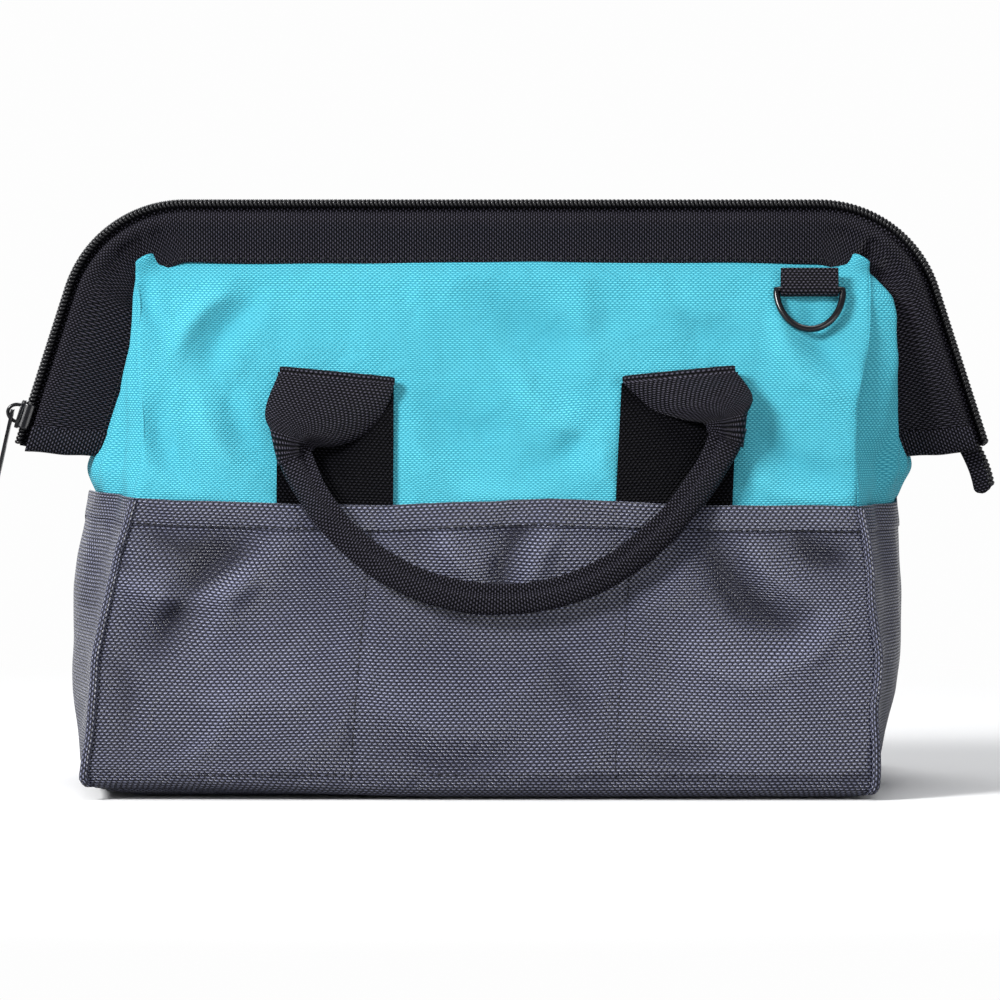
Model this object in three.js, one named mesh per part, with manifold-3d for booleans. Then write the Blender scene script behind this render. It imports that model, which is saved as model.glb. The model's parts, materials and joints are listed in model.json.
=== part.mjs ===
// Wide-mouth zippered tool bag: a stiffened base, double front and back walls with patch pockets,
// folding end gussets, a webbing band over a steel mouth frame, a zip whose ends hang past the bag
// as wings, two folded webbing handles and a D-ring. Millimetres, +Z up, the front faces -Y.
import * as THREE from "three";
import { mergeVertices } from "three/addons/utils/BufferGeometryUtils.js";
import Module from "manifold-3d";

const wasm = await Module();
wasm.setup();

// Clearances
const layGap = 0.3; // between two pieces that lie on or in each other
const swingGap = 1.2; // between the hanging handle and the wall behind it

// Body
const baseLength = 336;
const baseDepth = 200;
const baseCornerRadius = 12;
const bagHeight = 253; // floor to the top of the zip chain
const topLength = 322; // length of the walls where they meet the band
const wallTuck = 4; // how far the walls run up behind the band
const wallTopDepth = 5; // half depth of the inside at the top of the walls
const wallFullness = 1.25; // 1 is a flat leaning wall, more is fuller at the foot
const wallCrown = 5;
const wallRow = 10; // height of one row of facets, shared by all layers of a wall
const wallColumns = 8;
const clothThickness = 1.6;
const footGap = 0.6; // the walls stop this far above the floor, and the base rests on it
const pocketHeight = 120;
const footSlump = 7; // the soft foot has settled this far to the left of the mouth
const slumpHeight = 150;

// Base
const basePanelThickness = 2;
const baseBoardThickness = 3;
const baseBoardMargin = 6;

// Gussets
const gussetTopBelowWall = 12;
const gussetEdgeReach = 1.5;
const gussetSeam = 1; // the swell starts this far inside the walls
const gussetRows = 12;
const gussetColumns = 10;
const leftBulge = 16; // how far the dark gusset swells past the walls' edges
const rightBulge = 11.5;
const bulgeSpan = 168; // height of the whole swell, which the hem cuts short
const leftWaist = 9; // how far the canvas gusset stands out at the hem
const rightWaist = 7;
const gussetTuck = 1; // how far the gusset's middle runs behind the band
const gussetDip = 5; // how far it is drawn in between the walls at the top
const pipingRadius = 2;

// Mouth: the frame path is the outer edge of the band, seen from the front
const frameHalfTop = 184.3; // at the foot of the round corner
const frameHalfFoot = 206.3; // at the lower end of the wing
const cornerFootHeight = 213;
const wingFootHeight = 145;
const bandWidthTop = 22;
const bandWidthWing = 32;
const bandLeaf = 1.2;
const frameWireRadius = 1.8;
const tapeThickness = 0.95;
const tapeDepth = 20;
const tapeSplit = 0.15; // half the gap between the two tapes
const bindingRise = 10; // how far the binding of a wing's end reaches up the wing
const bindingThickness = 1.4;

// Zip
const chainThickness = 2.8;
const chainHalfWidth = 2.8;
const chainRise = 3.2; // from the band's edge to the underside of the chain
const chainPitch = 4.5;
const toothReach = 0.8;
const tailLength = 19;
const tailWidth = 8;
const tailThickness = 5;

// Slider and pull tab
const sliderLength = 12;
const sliderPlate = 1.7;
const sliderLip = 1.2;
const sliderWall = 1.5;
const sliderShoulder = 1.4;
const sliderRest = 13; // from the lower end of the zip to the middle of the slider
const bridgeLength = 9;
const bridgeHeight = 5.5;
const bridgeWire = 1.6;
const pullBarRadius = 0.8;
const pullLength = 34;
const pullWidth = 9;
const pullThickness = 1.5;
const pullEyeLength = 6.3;
const pullEyeHalfWidth = 2.2;
const pullShoulder = 5;
const pullOffChain = THREE.MathUtils.degToRad(5.3); // from the tab to the wing's leg

// Handles
const strapWidth = 50;
const strapMiddle = 71.5; // from the middle of the bag to the middle of a strap
const strapFoot = 20;
const strapThickness = 1.6;
const foldHeight = 177;
const foldRadius = 2.6;
const flapSetBack = 1; // the flap's end is this much thinner than the grip on each face
const gripHalfSpan = 94;
const gripTop = 150;
const gripDrop = 69;
const gripHalfHeight = 6.2;
const gripHalfThickness = 4.6;
const gripBend = 1.45; // 1 is half an ellipse, more is closer to a V
const gripSteps = 26;

// D-ring
const ringMiddle = 133;
const ringBelowBand = 11; // from the band's lower edge to the ring's straight bar
const ringWireRadius = 1.5;
const ringHalfWidth = 14.4;
const ringDrop = 18.5;
const ringLoopHalfWidth = 12.5;
const ringLoopThickness = 1.2;
const ringLoopRise = 7.5;

const canvas = { color: 0x3fb4cc, roughness: 0.85, metalness: 0 };
const coatedCloth = { color: 0x3b3b47, roughness: 0.55, metalness: 0 };
const webbing = { color: 0x22222a, roughness: 0.8, metalness: 0 };
const nylonCoil = { color: 0x1b1b20, roughness: 0.45, metalness: 0 };
const blackSteel = { color: 0x2a2a2e, roughness: 0.35, metalness: 0.9 };
const frameSteel = { color: 0x8f9296, roughness: 0.4, metalness: 1 };
const stiffBoard = { color: 0x26262b, roughness: 0.7, metalness: 0 };

const bag = new THREE.Group();

function addPiece(name, geometry, look, parent = bag) {
  const mesh = new THREE.Mesh(geometry, new THREE.MeshStandardMaterial(look));
  mesh.name = name;
  parent.add(mesh);
  return mesh;
}

// Solids and geometries

function signedVolume(points, index) {
  let sum = 0;
  for (let i = 0; i < index.length; i += 3) {
    const [a, b, c] = [points[index[i]], points[index[i + 1]], points[index[i + 2]]];
    sum += a.dot(b.clone().cross(c));
  }
  return sum / 6;
}

function closedGeometry(points, index) {
  const facing = signedVolume(points, index) < 0 ? index.slice().reverse() : index;
  const geometry = new THREE.BufferGeometry().setFromPoints(points);
  geometry.setIndex(facing);
  return geometry;
}

function toSolid(geometry) {
  const bare = geometry.index ? geometry.toNonIndexed() : geometry.clone();
  bare.deleteAttribute("normal");
  bare.deleteAttribute("uv");
  const merged = mergeVertices(bare, 1e-4);
  return new wasm.Manifold(
    new wasm.Mesh({
      numProp: 3,
      vertProperties: merged.attributes.position.array,
      triVerts: new Uint32Array(merged.index.array),
    }),
  );
}

function toGeometry(solid) {
  const mesh = solid.getMesh();
  const geometry = new THREE.BufferGeometry();
  geometry.setAttribute("position", new THREE.BufferAttribute(mesh.vertProperties, 3));
  geometry.setIndex(new THREE.BufferAttribute(mesh.triVerts, 1));
  return geometry;
}

function mirroredAcross(axis, geometry) {
  const scale = { x: [-1, 1, 1], y: [1, -1, 1] }[axis];
  const copy = geometry.index ? geometry.toNonIndexed() : geometry.clone();
  copy.scale(...scale);
  const position = copy.getAttribute("position");
  const points = [];
  for (let i = 0; i < position.count; i++) points.push(new THREE.Vector3().fromBufferAttribute(position, i));
  return closedGeometry(points, points.map((_, i) => i));
}

// A solid through rings of points that all follow one flat section. With a closed path it has no ends.
function loft(rings, section, isLoop = false) {
  const count = section.length;
  const points = rings.flat();
  const index = [];
  const spans = isLoop ? rings.length : rings.length - 1;
  for (let r = 0; r < spans; r++) {
    const next = ((r + 1) % rings.length) * count;
    for (let i = 0; i < count; i++) {
      const j = (i + 1) % count;
      index.push(r * count + i, r * count + j, next + j, r * count + i, next + j, next + i);
    }
  }
  if (!isLoop) {
    const last = (rings.length - 1) * count;
    const turned = THREE.ShapeUtils.isClockWise(section);
    for (const [a, b, c] of THREE.ShapeUtils.triangulateShape(section, [])) {
      const [d, e] = turned ? [c, b] : [b, c];
      index.push(a, e, d, last + a, last + d, last + e);
    }
  }
  return closedGeometry(points, index);
}

// A sheet of cloth between two surfaces, each given as a function of a column and a row from 0 to 1.
function sheetBetween(outer, inner, columns, rows) {
  const points = [];
  const at = (side, c, r) => side * (columns + 1) * (rows + 1) + r * (columns + 1) + c;
  for (const surface of [outer, inner])
    for (let r = 0; r <= rows; r++)
      for (let c = 0; c <= columns; c++) points.push(surface(c / columns, r / rows));
  const index = [];
  const quad = (a, b, c, d) => index.push(a, b, c, a, c, d);
  for (let r = 0; r < rows; r++)
    for (let c = 0; c < columns; c++) {
      quad(at(0, c, r), at(0, c + 1, r), at(0, c + 1, r + 1), at(0, c, r + 1));
      quad(at(1, c, r), at(1, c, r + 1), at(1, c + 1, r + 1), at(1, c + 1, r));
    }
  for (let c = 0; c < columns; c++) {
    quad(at(0, c, 0), at(1, c, 0), at(1, c + 1, 0), at(0, c + 1, 0));
    quad(at(0, c, rows), at(0, c + 1, rows), at(1, c + 1, rows), at(1, c, rows));
  }
  for (let r = 0; r < rows; r++) {
    quad(at(0, 0, r), at(0, 0, r + 1), at(1, 0, r + 1), at(1, 0, r));
    quad(at(0, columns, r), at(1, columns, r), at(1, columns, r + 1), at(0, columns, r + 1));
  }
  return closedGeometry(points, index);
}

function roundSection(radiusAcross, radiusUp, sides) {
  return Array.from({ length: sides }, (_, i) => {
    const turn = (i / sides) * 2 * Math.PI;
    return new THREE.Vector2(radiusAcross * Math.cos(turn), radiusUp * Math.sin(turn));
  });
}

const corners = [[0, 0], [1, 0], [1, 1], [0, 1]];
const squareSection = corners.map(([x, y]) => new THREE.Vector2(x, y));

function roundedRectangle(length, depth, radius) {
  const [x, y] = [length / 2, depth / 2];
  const shape = new THREE.Shape();
  shape.moveTo(-x + radius, -y);
  shape.lineTo(x - radius, -y);
  shape.absarc(x - radius, -y + radius, radius, -Math.PI / 2, 0);
  shape.absarc(x - radius, y - radius, radius, 0, Math.PI / 2);
  shape.absarc(-x + radius, y - radius, radius, Math.PI / 2, Math.PI);
  shape.absarc(-x + radius, -y + radius, radius, Math.PI, 1.5 * Math.PI);
  return shape;
}

function extruded(shape, depth, curveSegments = 6) {
  return new THREE.ExtrudeGeometry(shape, { depth, curveSegments, bevelEnabled: false });
}

// Walls

const bandTop = bagHeight - chainRise - chainThickness;
const wallTop = bandTop - bandWidthTop + wallTuck;
const gussetTop = wallTop - gussetTopBelowWall;
const strapLayer = clothThickness + layGap; // the straps lie on the main panel
const pocketLayer = strapLayer + strapThickness + layGap; // and the pocket panel over them
const wallStack = pocketLayer + clothThickness;
const wallFootDepth = baseDepth / 2 - wallStack;

function wallDepth(z) {
  return wallTopDepth + (wallFootDepth - wallTopDepth) * (1 - (z / wallTop) ** wallFullness);
}

function wallLean(z) {
  return ((wallFootDepth - wallTopDepth) * wallFullness * (z / wallTop) ** (wallFullness - 1)) / wallTop;
}

function halfLength(z) {
  return baseLength / 2 - ((baseLength - topLength) / 2) * (z / wallTop);
}

function slumpAt(z) {
  const share = Math.max(0, 1 - z / slumpHeight);
  return -footSlump * share * share * (3 - 2 * share);
}

function crownAt(x, z) {
  const across = Math.min(1, Math.abs(x) / halfLength(z));
  return wallCrown * (1 - across * across) * Math.sin((Math.PI * z) / wallTop);
}

// How far a layer of the wall lies from the middle plane at a place on the wall.
function wallAt(x, z, layer) {
  return wallDepth(z) + crownAt(x, z) + layer;
}

// A layer of the front wall. All layers bend at the same heights, so that they stay apart.
function wallSheet(left, right, foot, top, layer, columns) {
  const heights = [foot];
  for (let z = wallRow; z < top; z += wallRow) if (z > foot) heights.push(z);
  heights.push(top);
  const surface = (depth) => (c, r) => {
    const z = heights[Math.round(r * (heights.length - 1))];
    const x = left(z) + (right(z) - left(z)) * c;
    return new THREE.Vector3(x + slumpAt(z), -wallAt(x, z, depth), z);
  };
  return sheetBetween(surface(layer + clothThickness), surface(layer), columns, heights.length - 1);
}

// Mouth frame path, in the plane of the zip

const legRun = frameHalfFoot - frameHalfTop;
const legRise = cornerFootHeight - wingFootHeight;
const legLength = Math.hypot(legRun, legRise);
const legTurn = Math.atan2(legRise, legRun); // of the wing's leg from the floor
const cornerRadius = (bandTop - cornerFootHeight) / (1 - Math.cos(legTurn));

function mouthPath() {
  const path = new THREE.Path();
  const cornerX = frameHalfTop - cornerRadius * Math.sin(legTurn);
  const cornerZ = bandTop - cornerRadius;
  path.moveTo(-frameHalfFoot, wingFootHeight);
  path.lineTo(-frameHalfTop, cornerFootHeight);
  path.absarc(-cornerX, cornerZ, cornerRadius, Math.PI / 2 + legTurn, Math.PI / 2, true);
  path.lineTo(cornerX, bandTop);
  path.absarc(cornerX, cornerZ, cornerRadius, Math.PI / 2, Math.PI / 2 - legTurn, true);
  path.lineTo(frameHalfFoot, wingFootHeight);
  return path;
}

const mouth = mouthPath();
const mouthLength = mouth.getLength();
const cornerLength = cornerRadius * legTurn;

// Distances along the mouth: the ends of the straights, and steps round the corners.
function mouthStations(cornerSteps, legSteps) {
  const stations = [];
  for (let i = 0; i < legSteps; i++) stations.push((legLength * i) / legSteps);
  for (let i = 0; i <= cornerSteps; i++) stations.push(legLength + (cornerLength * i) / cornerSteps);
  const other = stations.map((s) => mouthLength - s).reverse();
  return [...stations, mouthLength / 2, ...other];
}

function mouthFrame(distance) {
  const u = Math.min(1, Math.max(0, distance / mouthLength));
  const point = mouth.getPointAt(u);
  const tangent = mouth.getTangentAt(Math.min(0.99999, Math.max(0.00001, u)));
  return { point, inward: new THREE.Vector2(tangent.y, -tangent.x) };
}

function onMouth(distance, depth, y) {
  const { point, inward } = mouthFrame(distance);
  return new THREE.Vector3(point.x + inward.x * depth, y, point.y + inward.y * depth);
}

function bandWidthAt(distance) {
  const fromEnd = Math.min(distance, mouthLength - distance);
  const share = 1 - Math.min(1, fromEnd / (legLength + cornerLength));
  return bandWidthTop + (bandWidthWing - bandWidthTop) * Math.min(1, share * 2);
}

// Sweeps a section, given as depth inside the band's edge and y, along the mouth.
function alongMouth(stations, sectionAt) {
  const rings = stations.map((s) => sectionAt(s).map(([depth, y]) => onMouth(s, depth, y)));
  return loft(rings, sectionAt(stations[0]).map(([depth, y]) => new THREE.Vector2(depth, y)));
}

const tapeOuter = tapeSplit + tapeThickness;
const innerLeaf = tapeOuter + layGap; // y of the band's inner leaf, and so on outwards
const wireMiddle = innerLeaf + bandLeaf + layGap + frameWireRadius;
const outerLeaf = wireMiddle + frameWireRadius + layGap;
const bandFace = outerLeaf + bandLeaf;

function bandSolid() {
  return alongMouth(mouthStations(7, 3), (s) => {
    const width = bandWidthAt(s);
    return [
      [0, -bandFace],
      [0, -innerLeaf],
      [width, -innerLeaf],
      [width, -innerLeaf - bandLeaf],
      [bandLeaf, -innerLeaf - bandLeaf],
      [bandLeaf, -outerLeaf],
      [width, -outerLeaf],
      [width, -bandFace],
    ];
  });
}

function frameWireSolid() {
  const section = roundSection(frameWireRadius, frameWireRadius, 8);
  const depth = bandLeaf + layGap + frameWireRadius;
  return alongMouth(mouthStations(7, 1), () => section.map((p) => [depth + p.x, -wireMiddle + p.y]));
}

function tapeSolid() {
  return alongMouth(mouthStations(7, 1), () => [
    [layGap - chainRise, -tapeOuter],
    [layGap - chainRise, -tapeSplit],
    [tapeDepth, -tapeSplit],
    [tapeDepth, -tapeOuter],
  ]);
}

// Half of the chain: a row of teeth that lock into the other half along a zigzag.
function chainSolid(side) {
  const teeth = Math.round(mouthLength / chainPitch);
  const stations = Array.from({ length: 2 * teeth + 1 }, (_, i) => (mouthLength * i) / (2 * teeth));
  const rings = stations.map((s, i) => {
    const lock = (i % 2 ? toothReach : -toothReach) + side * (layGap / 2);
    return [
      onMouth(s, -chainRise - chainThickness, side * chainHalfWidth),
      onMouth(s, -chainRise - chainThickness, lock),
      onMouth(s, -chainRise, lock),
      onMouth(s, -chainRise, side * chainHalfWidth),
    ];
  });
  return loft(rings, squareSection);
}

// The folded webbing that is sewn round the lower end of a wing, seen along the band.
function bindingSolid(isRoom) {
  const slack = isRoom ? layGap : 0;
  const inside = bandFace + layGap;
  const outside = inside + bindingThickness + slack;
  const width = bandWidthWing + slack;
  const level = (distance, y, depth) => {
    const end = mouthFrame(0);
    const up = new THREE.Vector2(-end.inward.y, end.inward.x);
    return new THREE.Vector3(
      end.point.x + end.inward.x * depth + up.x * distance,
      y,
      end.point.y + end.inward.y * depth + up.y * distance,
    );
  };
  const foot = -layGap - bindingThickness - slack;
  const hollow = isRoom
    ? []
    : [
        [bindingRise, inside],
        [-layGap, inside],
        [-layGap, -inside],
        [bindingRise, -inside],
      ];
  const top = bindingRise + slack;
  const section = [[top, -outside], [foot, -outside], [foot, outside], [top, outside], ...hollow];
  const rings = [0, width].map((depth) => section.map(([distance, y]) => level(distance, y, depth)));
  return loft(rings, section.map(([distance, y]) => new THREE.Vector2(distance, y)));
}

// The space of the whole band, which the walls and gussets stop short of.
function bandSpace() {
  const reach = bandFace + layGap;
  const geometry = alongMouth(mouthStations(7, 3), (s) => {
    const width = bandWidthAt(s) + layGap;
    return [
      [-chainRise, -reach],
      [-chainRise, reach],
      [width, reach],
      [width, -reach],
    ];
  });
  const leftEnd = toSolid(bindingSolid(true));
  const rightEnd = toSolid(mirroredAcross("x", bindingSolid(true)));
  return toSolid(geometry).add(leftEnd).add(rightEnd);
}

const bandRoom = bandSpace();

// Gussets and their pipings; side is -1 at the left and 1 at the right

const wingInnerX = frameHalfFoot - bandWidthWing * Math.sin(legTurn);
const wingInnerZ = wingFootHeight - bandWidthWing * Math.cos(legTurn);

// How far the middle of a gusset stands out past the edge of the walls.
function lowerReach(side, z) {
  const bulge = side < 0 ? leftBulge : rightBulge;
  return bulge * Math.sin(Math.PI * Math.min(1, z / bulgeSpan)) ** 0.8;
}

function upperReach(side, z) {
  const waist = side < 0 ? leftWaist : rightWaist;
  const edge = (height) => wingInnerX - ((height - wingInnerZ) * legRun) / legRise;
  const wing = (height) => Math.max(-gussetDip, edge(height) + gussetTuck - halfLength(height));
  if (z > wingInnerZ) return wing(z);
  return waist + (wing(wingInnerZ) - waist) * Math.max(0, (z - pocketHeight) / (wingInnerZ - pocketHeight));
}

function gussetSheet(side, reach, foot, top) {
  const surface = (layer) => (c, r) => {
    const z = foot + (top - foot) * r;
    const y = (c * 2 - 1) * (wallDepth(z) + gussetEdgeReach);
    const fromMiddle = Math.min(1, Math.abs(y) / (wallDepth(z) - gussetSeam));
    const swell = reach(side, z) * (1 - fromMiddle ** 1.6);
    return new THREE.Vector3(side * (halfLength(z) + layGap + layer + swell) + slumpAt(z), y, z);
  };
  return sheetBetween(surface(clothThickness), surface(0), gussetColumns, gussetRows);
}

// Piping in the seam between a wall and a gusset, at the front.
function pipingSolid(side) {
  const section = roundSection(pipingRadius, pipingRadius, 8);
  const rings = [];
  const steps = 10;
  for (let i = 0; i <= steps; i++) {
    const z = footGap + ((pocketHeight - footGap) * i) / steps;
    const x = side * (halfLength(z) + layGap + pipingRadius) + slumpAt(z);
    const y = -(wallDepth(z) + gussetEdgeReach + layGap + pipingRadius);
    rings.push(section.map((p) => new THREE.Vector3(x + p.x, y + p.y, z)));
  }
  return loft(rings, section);
}

// Handles, modelled at the front and mirrored to the back

const foldClear = layGap + foldRadius / Math.cos(Math.atan(wallLean(foldHeight)));
const foldDepth = wallAt(strapMiddle - strapWidth / 2, foldHeight, clothThickness) + foldClear;
const strapTop = foldHeight - foldRadius - layGap;

function strapSolid(side) {
  const left = () => side * strapMiddle - strapWidth / 2;
  const right = () => side * strapMiddle + strapWidth / 2;
  return wallSheet(left, right, strapFoot, strapTop, strapLayer, 2);
}

// The outermost layer under the handle at a height: the pocket panel, or the strap above it.
function handleSeat(x, z) {
  const layer = z < pocketHeight + wallRow ? wallStack : strapLayer + strapThickness;
  return wallAt(x, z, layer) + swingGap;
}

function gripSolid() {
  const section = roundSection(gripHalfHeight, gripHalfThickness, 10);
  const rings = [];
  for (let i = 0; i <= gripSteps; i++) {
    const turn = (Math.PI * i) / gripSteps;
    const x = -gripHalfSpan * Math.cos(turn);
    const rise = Math.max(1e-3, Math.sin(turn));
    const z = gripTop - gripDrop * rise ** gripBend;
    const slope = gripDrop * gripBend * rise ** (gripBend - 1) * Math.cos(turn);
    const along = new THREE.Vector2(gripHalfSpan * rise, -slope).normalize();
    const across = new THREE.Vector2(-along.y, along.x);
    const lowest = z - gripHalfHeight * Math.abs(across.y);
    const depth = handleSeat(x, lowest) + gripHalfThickness;
    rings.push(
      section.map((p) => new THREE.Vector3(x + across.x * p.x, -depth - p.y, z + across.y * p.x)),
    );
  }
  return loft(rings, section);
}

// The flap that folds over the top of the strap and gathers into the end of the grip.
function flapSolid() {
  const gripEndDepth = handleSeat(gripHalfSpan, gripTop) + gripHalfThickness;
  const outerEdge = strapMiddle + strapWidth / 2;
  const innerEdge = strapMiddle - strapWidth / 2;
  const steps = 6;
  const rings = [];
  const corner = (x, y, z) => new THREE.Vector3(-x, -y, z);
  const roll = roundSection(foldRadius, foldRadius, 10);
  const foot = gripTop + layGap;
  const foldFace = foldDepth + foldRadius;
  for (let i = 1; i <= steps; i++) {
    const share = i / steps;
    const gather = share * share;
    const z = foldHeight + (foot - foldHeight) * share;
    const outer = outerEdge + (gripHalfSpan + gripHalfHeight - outerEdge) * gather;
    const inner = innerEdge + (gripHalfSpan - gripHalfHeight - innerEdge) * gather;
    const face = foldFace + (gripEndDepth + gripHalfThickness - flapSetBack - foldFace) * share;
    const thickness = strapThickness + (2 * (gripHalfThickness - flapSetBack) - strapThickness) * gather;
    rings.push([
      corner(outer, face, z),
      corner(inner, face, z),
      corner(inner, face - thickness, z),
      corner(outer, face - thickness, z),
    ]);
  }
  rings.unshift([
    corner(outerEdge, foldFace, foldHeight),
    corner(innerEdge, foldFace, foldHeight),
    corner(innerEdge, foldFace - strapThickness, foldHeight),
    corner(outerEdge, foldFace - strapThickness, foldHeight),
  ]);
  const fold = loft(
    [outerEdge, innerEdge].map((x) => roll.map((p) => corner(x, foldDepth + p.x, foldHeight + p.y))),
    roll,
  );
  return toGeometry(toSolid(loft(rings, squareSection)).add(toSolid(fold)));
}

// Slider and pull tab, built beside the left leg: +X is out of the bag, +Z is up the zip

function sliderSolid() {
  const inner = chainHalfWidth + layGap;
  const chainTop = chainRise + chainThickness;
  const plateFace = chainTop + layGap + sliderPlate;
  const slot = tapeOuter + layGap;
  const lipTop = chainRise - layGap;
  const section = (outer) => [
    [plateFace, -outer],
    [plateFace, outer],
    [lipTop - sliderLip, outer],
    [lipTop - sliderLip, slot],
    [lipTop, slot],
    [lipTop, inner],
    [chainTop + layGap, inner],
    [chainTop + layGap, -inner],
    [lipTop, -inner],
    [lipTop, -slot],
    [lipTop - sliderLip, -slot],
    [lipTop - sliderLip, -outer],
  ];
  const narrow = inner + sliderWall;
  const profile = [
    [-sliderLength / 2, narrow + sliderShoulder * 0.6],
    [-sliderLength / 4, narrow + sliderShoulder],
    [0, narrow + sliderShoulder * 0.7],
    [sliderLength / 2, narrow],
  ];
  const rings = profile.map(([z, outer]) => section(outer).map(([x, y]) => new THREE.Vector3(x, y, z)));
  const body = loft(rings, section(narrow).map(([x, y]) => new THREE.Vector2(x, y)));
  const arch = new THREE.Shape();
  arch.moveTo(-bridgeLength / 2, -sliderPlate / 2);
  arch.lineTo(-bridgeLength / 2, 0);
  arch.absellipse(0, 0, bridgeLength / 2, bridgeHeight, Math.PI, 0, true);
  arch.lineTo(bridgeLength / 2, -sliderPlate / 2);
  arch.lineTo(bridgeLength / 2 - bridgeWire, -sliderPlate / 2);
  arch.lineTo(bridgeLength / 2 - bridgeWire, 0);
  arch.absellipse(0, 0, bridgeLength / 2 - bridgeWire, bridgeHeight - bridgeWire, 0, Math.PI, false);
  arch.lineTo(-bridgeLength / 2 + bridgeWire, -sliderPlate / 2);
  const bridge = extruded(arch, bridgeWire, 10);
  bridge.translate(0, 0, -bridgeWire / 2);
  bridge.rotateX(Math.PI / 2);
  bridge.rotateY(Math.PI / 2);
  bridge.translate(plateFace, 0, 0);
  return toGeometry(toSolid(body).add(toSolid(bridge)));
}

// The tab hangs from its bar, which is at its origin and lies along Y.
function pullSolid() {
  const eyeWidth = pullEyeHalfWidth + pullBarRadius * 2;
  const outline = new THREE.Shape();
  outline.moveTo(-eyeWidth, -pullBarRadius);
  outline.lineTo(eyeWidth, -pullBarRadius);
  outline.lineTo(eyeWidth, pullEyeLength);
  outline.lineTo(pullWidth / 2, pullEyeLength + pullShoulder);
  outline.lineTo(pullWidth / 2, pullLength - pullWidth / 2);
  outline.absarc(0, pullLength - pullWidth / 2, pullWidth / 2, 0, Math.PI, false);
  outline.lineTo(-pullWidth / 2, pullEyeLength + pullShoulder);
  outline.lineTo(-eyeWidth, pullEyeLength);
  const eye = new THREE.Path();
  eye.moveTo(-pullEyeHalfWidth, pullBarRadius);
  eye.lineTo(-pullEyeHalfWidth, pullEyeLength);
  eye.lineTo(pullEyeHalfWidth, pullEyeLength);
  eye.lineTo(pullEyeHalfWidth, pullBarRadius);
  outline.holes.push(eye);
  const tab = extruded(outline, pullThickness, 6);
  tab.translate(0, 0, -pullThickness / 2);
  tab.rotateX(-Math.PI / 2);
  tab.rotateZ(Math.PI / 2);
  return tab;
}

// D-ring and its loop, built round the ring's bar

function ringSolid() {
  const section = roundSection(ringWireRadius, ringWireRadius, 8);
  const steps = 14;
  const path = [];
  for (let i = 0; i <= steps; i++) {
    const turn = (Math.PI * i) / steps;
    path.push(new THREE.Vector2(ringHalfWidth * Math.cos(turn), -ringDrop * Math.sin(turn)));
  }
  const rings = path.map((p, i) => {
    const before = path[(i + path.length - 1) % path.length];
    const after = path[(i + 1) % path.length];
    const arriving = p.clone().sub(before).normalize();
    const leaving = after.clone().sub(p).normalize();
    const along = arriving.clone().add(leaving).normalize();
    const mitre = 1 / Math.max(0.5, along.dot(leaving));
    const across = new THREE.Vector2(-along.y, along.x).multiplyScalar(mitre);
    return section.map((q) => new THREE.Vector3(p.x + across.x * q.x, q.y, p.y + across.y * q.x));
  });
  return loft(rings, section, true);
}

function ringLoopSolid() {
  const eyeRadius = ringWireRadius + layGap;
  const outer = eyeRadius + ringLoopThickness;
  const leaves = 2 * ringLoopThickness;
  const outline = new THREE.Shape();
  outline.moveTo(outer, 0);
  outline.lineTo(outer, ringLoopRise);
  outline.lineTo(outer - leaves, ringLoopRise);
  outline.lineTo(-outer, 0);
  outline.absarc(0, 0, outer, Math.PI, 2 * Math.PI, false);
  const eye = new THREE.Path();
  eye.absarc(0, 0, eyeRadius, 0, 2 * Math.PI, true);
  outline.holes.push(eye);
  const loop = extruded(outline, 2 * ringLoopHalfWidth, 8);
  loop.translate(0, 0, -ringLoopHalfWidth);
  loop.rotateY(Math.PI / 2);
  loop.rotateX(Math.PI / 2);
  return loop;
}

// Tail: the folded end of the zip at the right, hanging past the wing

function tailSolid() {
  const outline = new THREE.Shape();
  outline.moveTo(0, -layGap);
  outline.lineTo(tailWidth, -layGap);
  outline.lineTo(tailWidth, -tailLength + tailWidth / 2);
  outline.absarc(tailWidth / 2, -tailLength + tailWidth / 2, tailWidth / 2, 0, -Math.PI, true);
  const tail = extruded(outline, tailThickness, 6);
  tail.translate(0, 0, -tailThickness / 2);
  tail.rotateX(Math.PI / 2);
  return tail;
}

// Assembly

const basePanel = extruded(
  roundedRectangle(baseLength, 2 * (wallFootDepth - layGap), baseCornerRadius / 4),
  basePanelThickness,
);
basePanel.translate(slumpAt(0), 0, 0);
addPiece("base_panel", basePanel, coatedCloth);

const baseBoard = extruded(
  roundedRectangle(
    baseLength - 2 * baseBoardMargin,
    2 * (wallFootDepth - baseBoardMargin),
    baseCornerRadius,
  ),
  baseBoardThickness,
);
baseBoard.translate(slumpAt(0), 0, basePanelThickness + layGap);
addPiece("base_board", baseBoard, stiffBoard);

const full = [(z) => -halfLength(z), (z) => halfLength(z)];
const mainPanel = toGeometry(
  toSolid(wallSheet(...full, footGap, wallTop, 0, wallColumns)).subtract(bandRoom),
);
const pocketPanel = wallSheet(...full, footGap, pocketHeight, pocketLayer, wallColumns);
addPiece("front_panel", mainPanel, canvas);
addPiece("back_panel", mirroredAcross("y", mainPanel), canvas);
addPiece("front_pocket_panel", pocketPanel, coatedCloth);
addPiece("back_pocket_panel", mirroredAcross("y", pocketPanel), coatedCloth);

for (const [end, side] of [["left", -1], ["right", 1]]) {
  const canvasFoot = pocketHeight + layGap;
  const upper = toSolid(gussetSheet(side, upperReach, canvasFoot, gussetTop)).subtract(bandRoom);
  const piping = pipingSolid(side);
  addPiece(`${end}_gusset_lower`, gussetSheet(side, lowerReach, footGap, pocketHeight), coatedCloth);
  addPiece(`${end}_gusset_upper`, toGeometry(upper), canvas);
  addPiece(`front_${end}_piping`, piping, webbing);
  addPiece(`back_${end}_piping`, mirroredAcross("y", piping), webbing);
}

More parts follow.
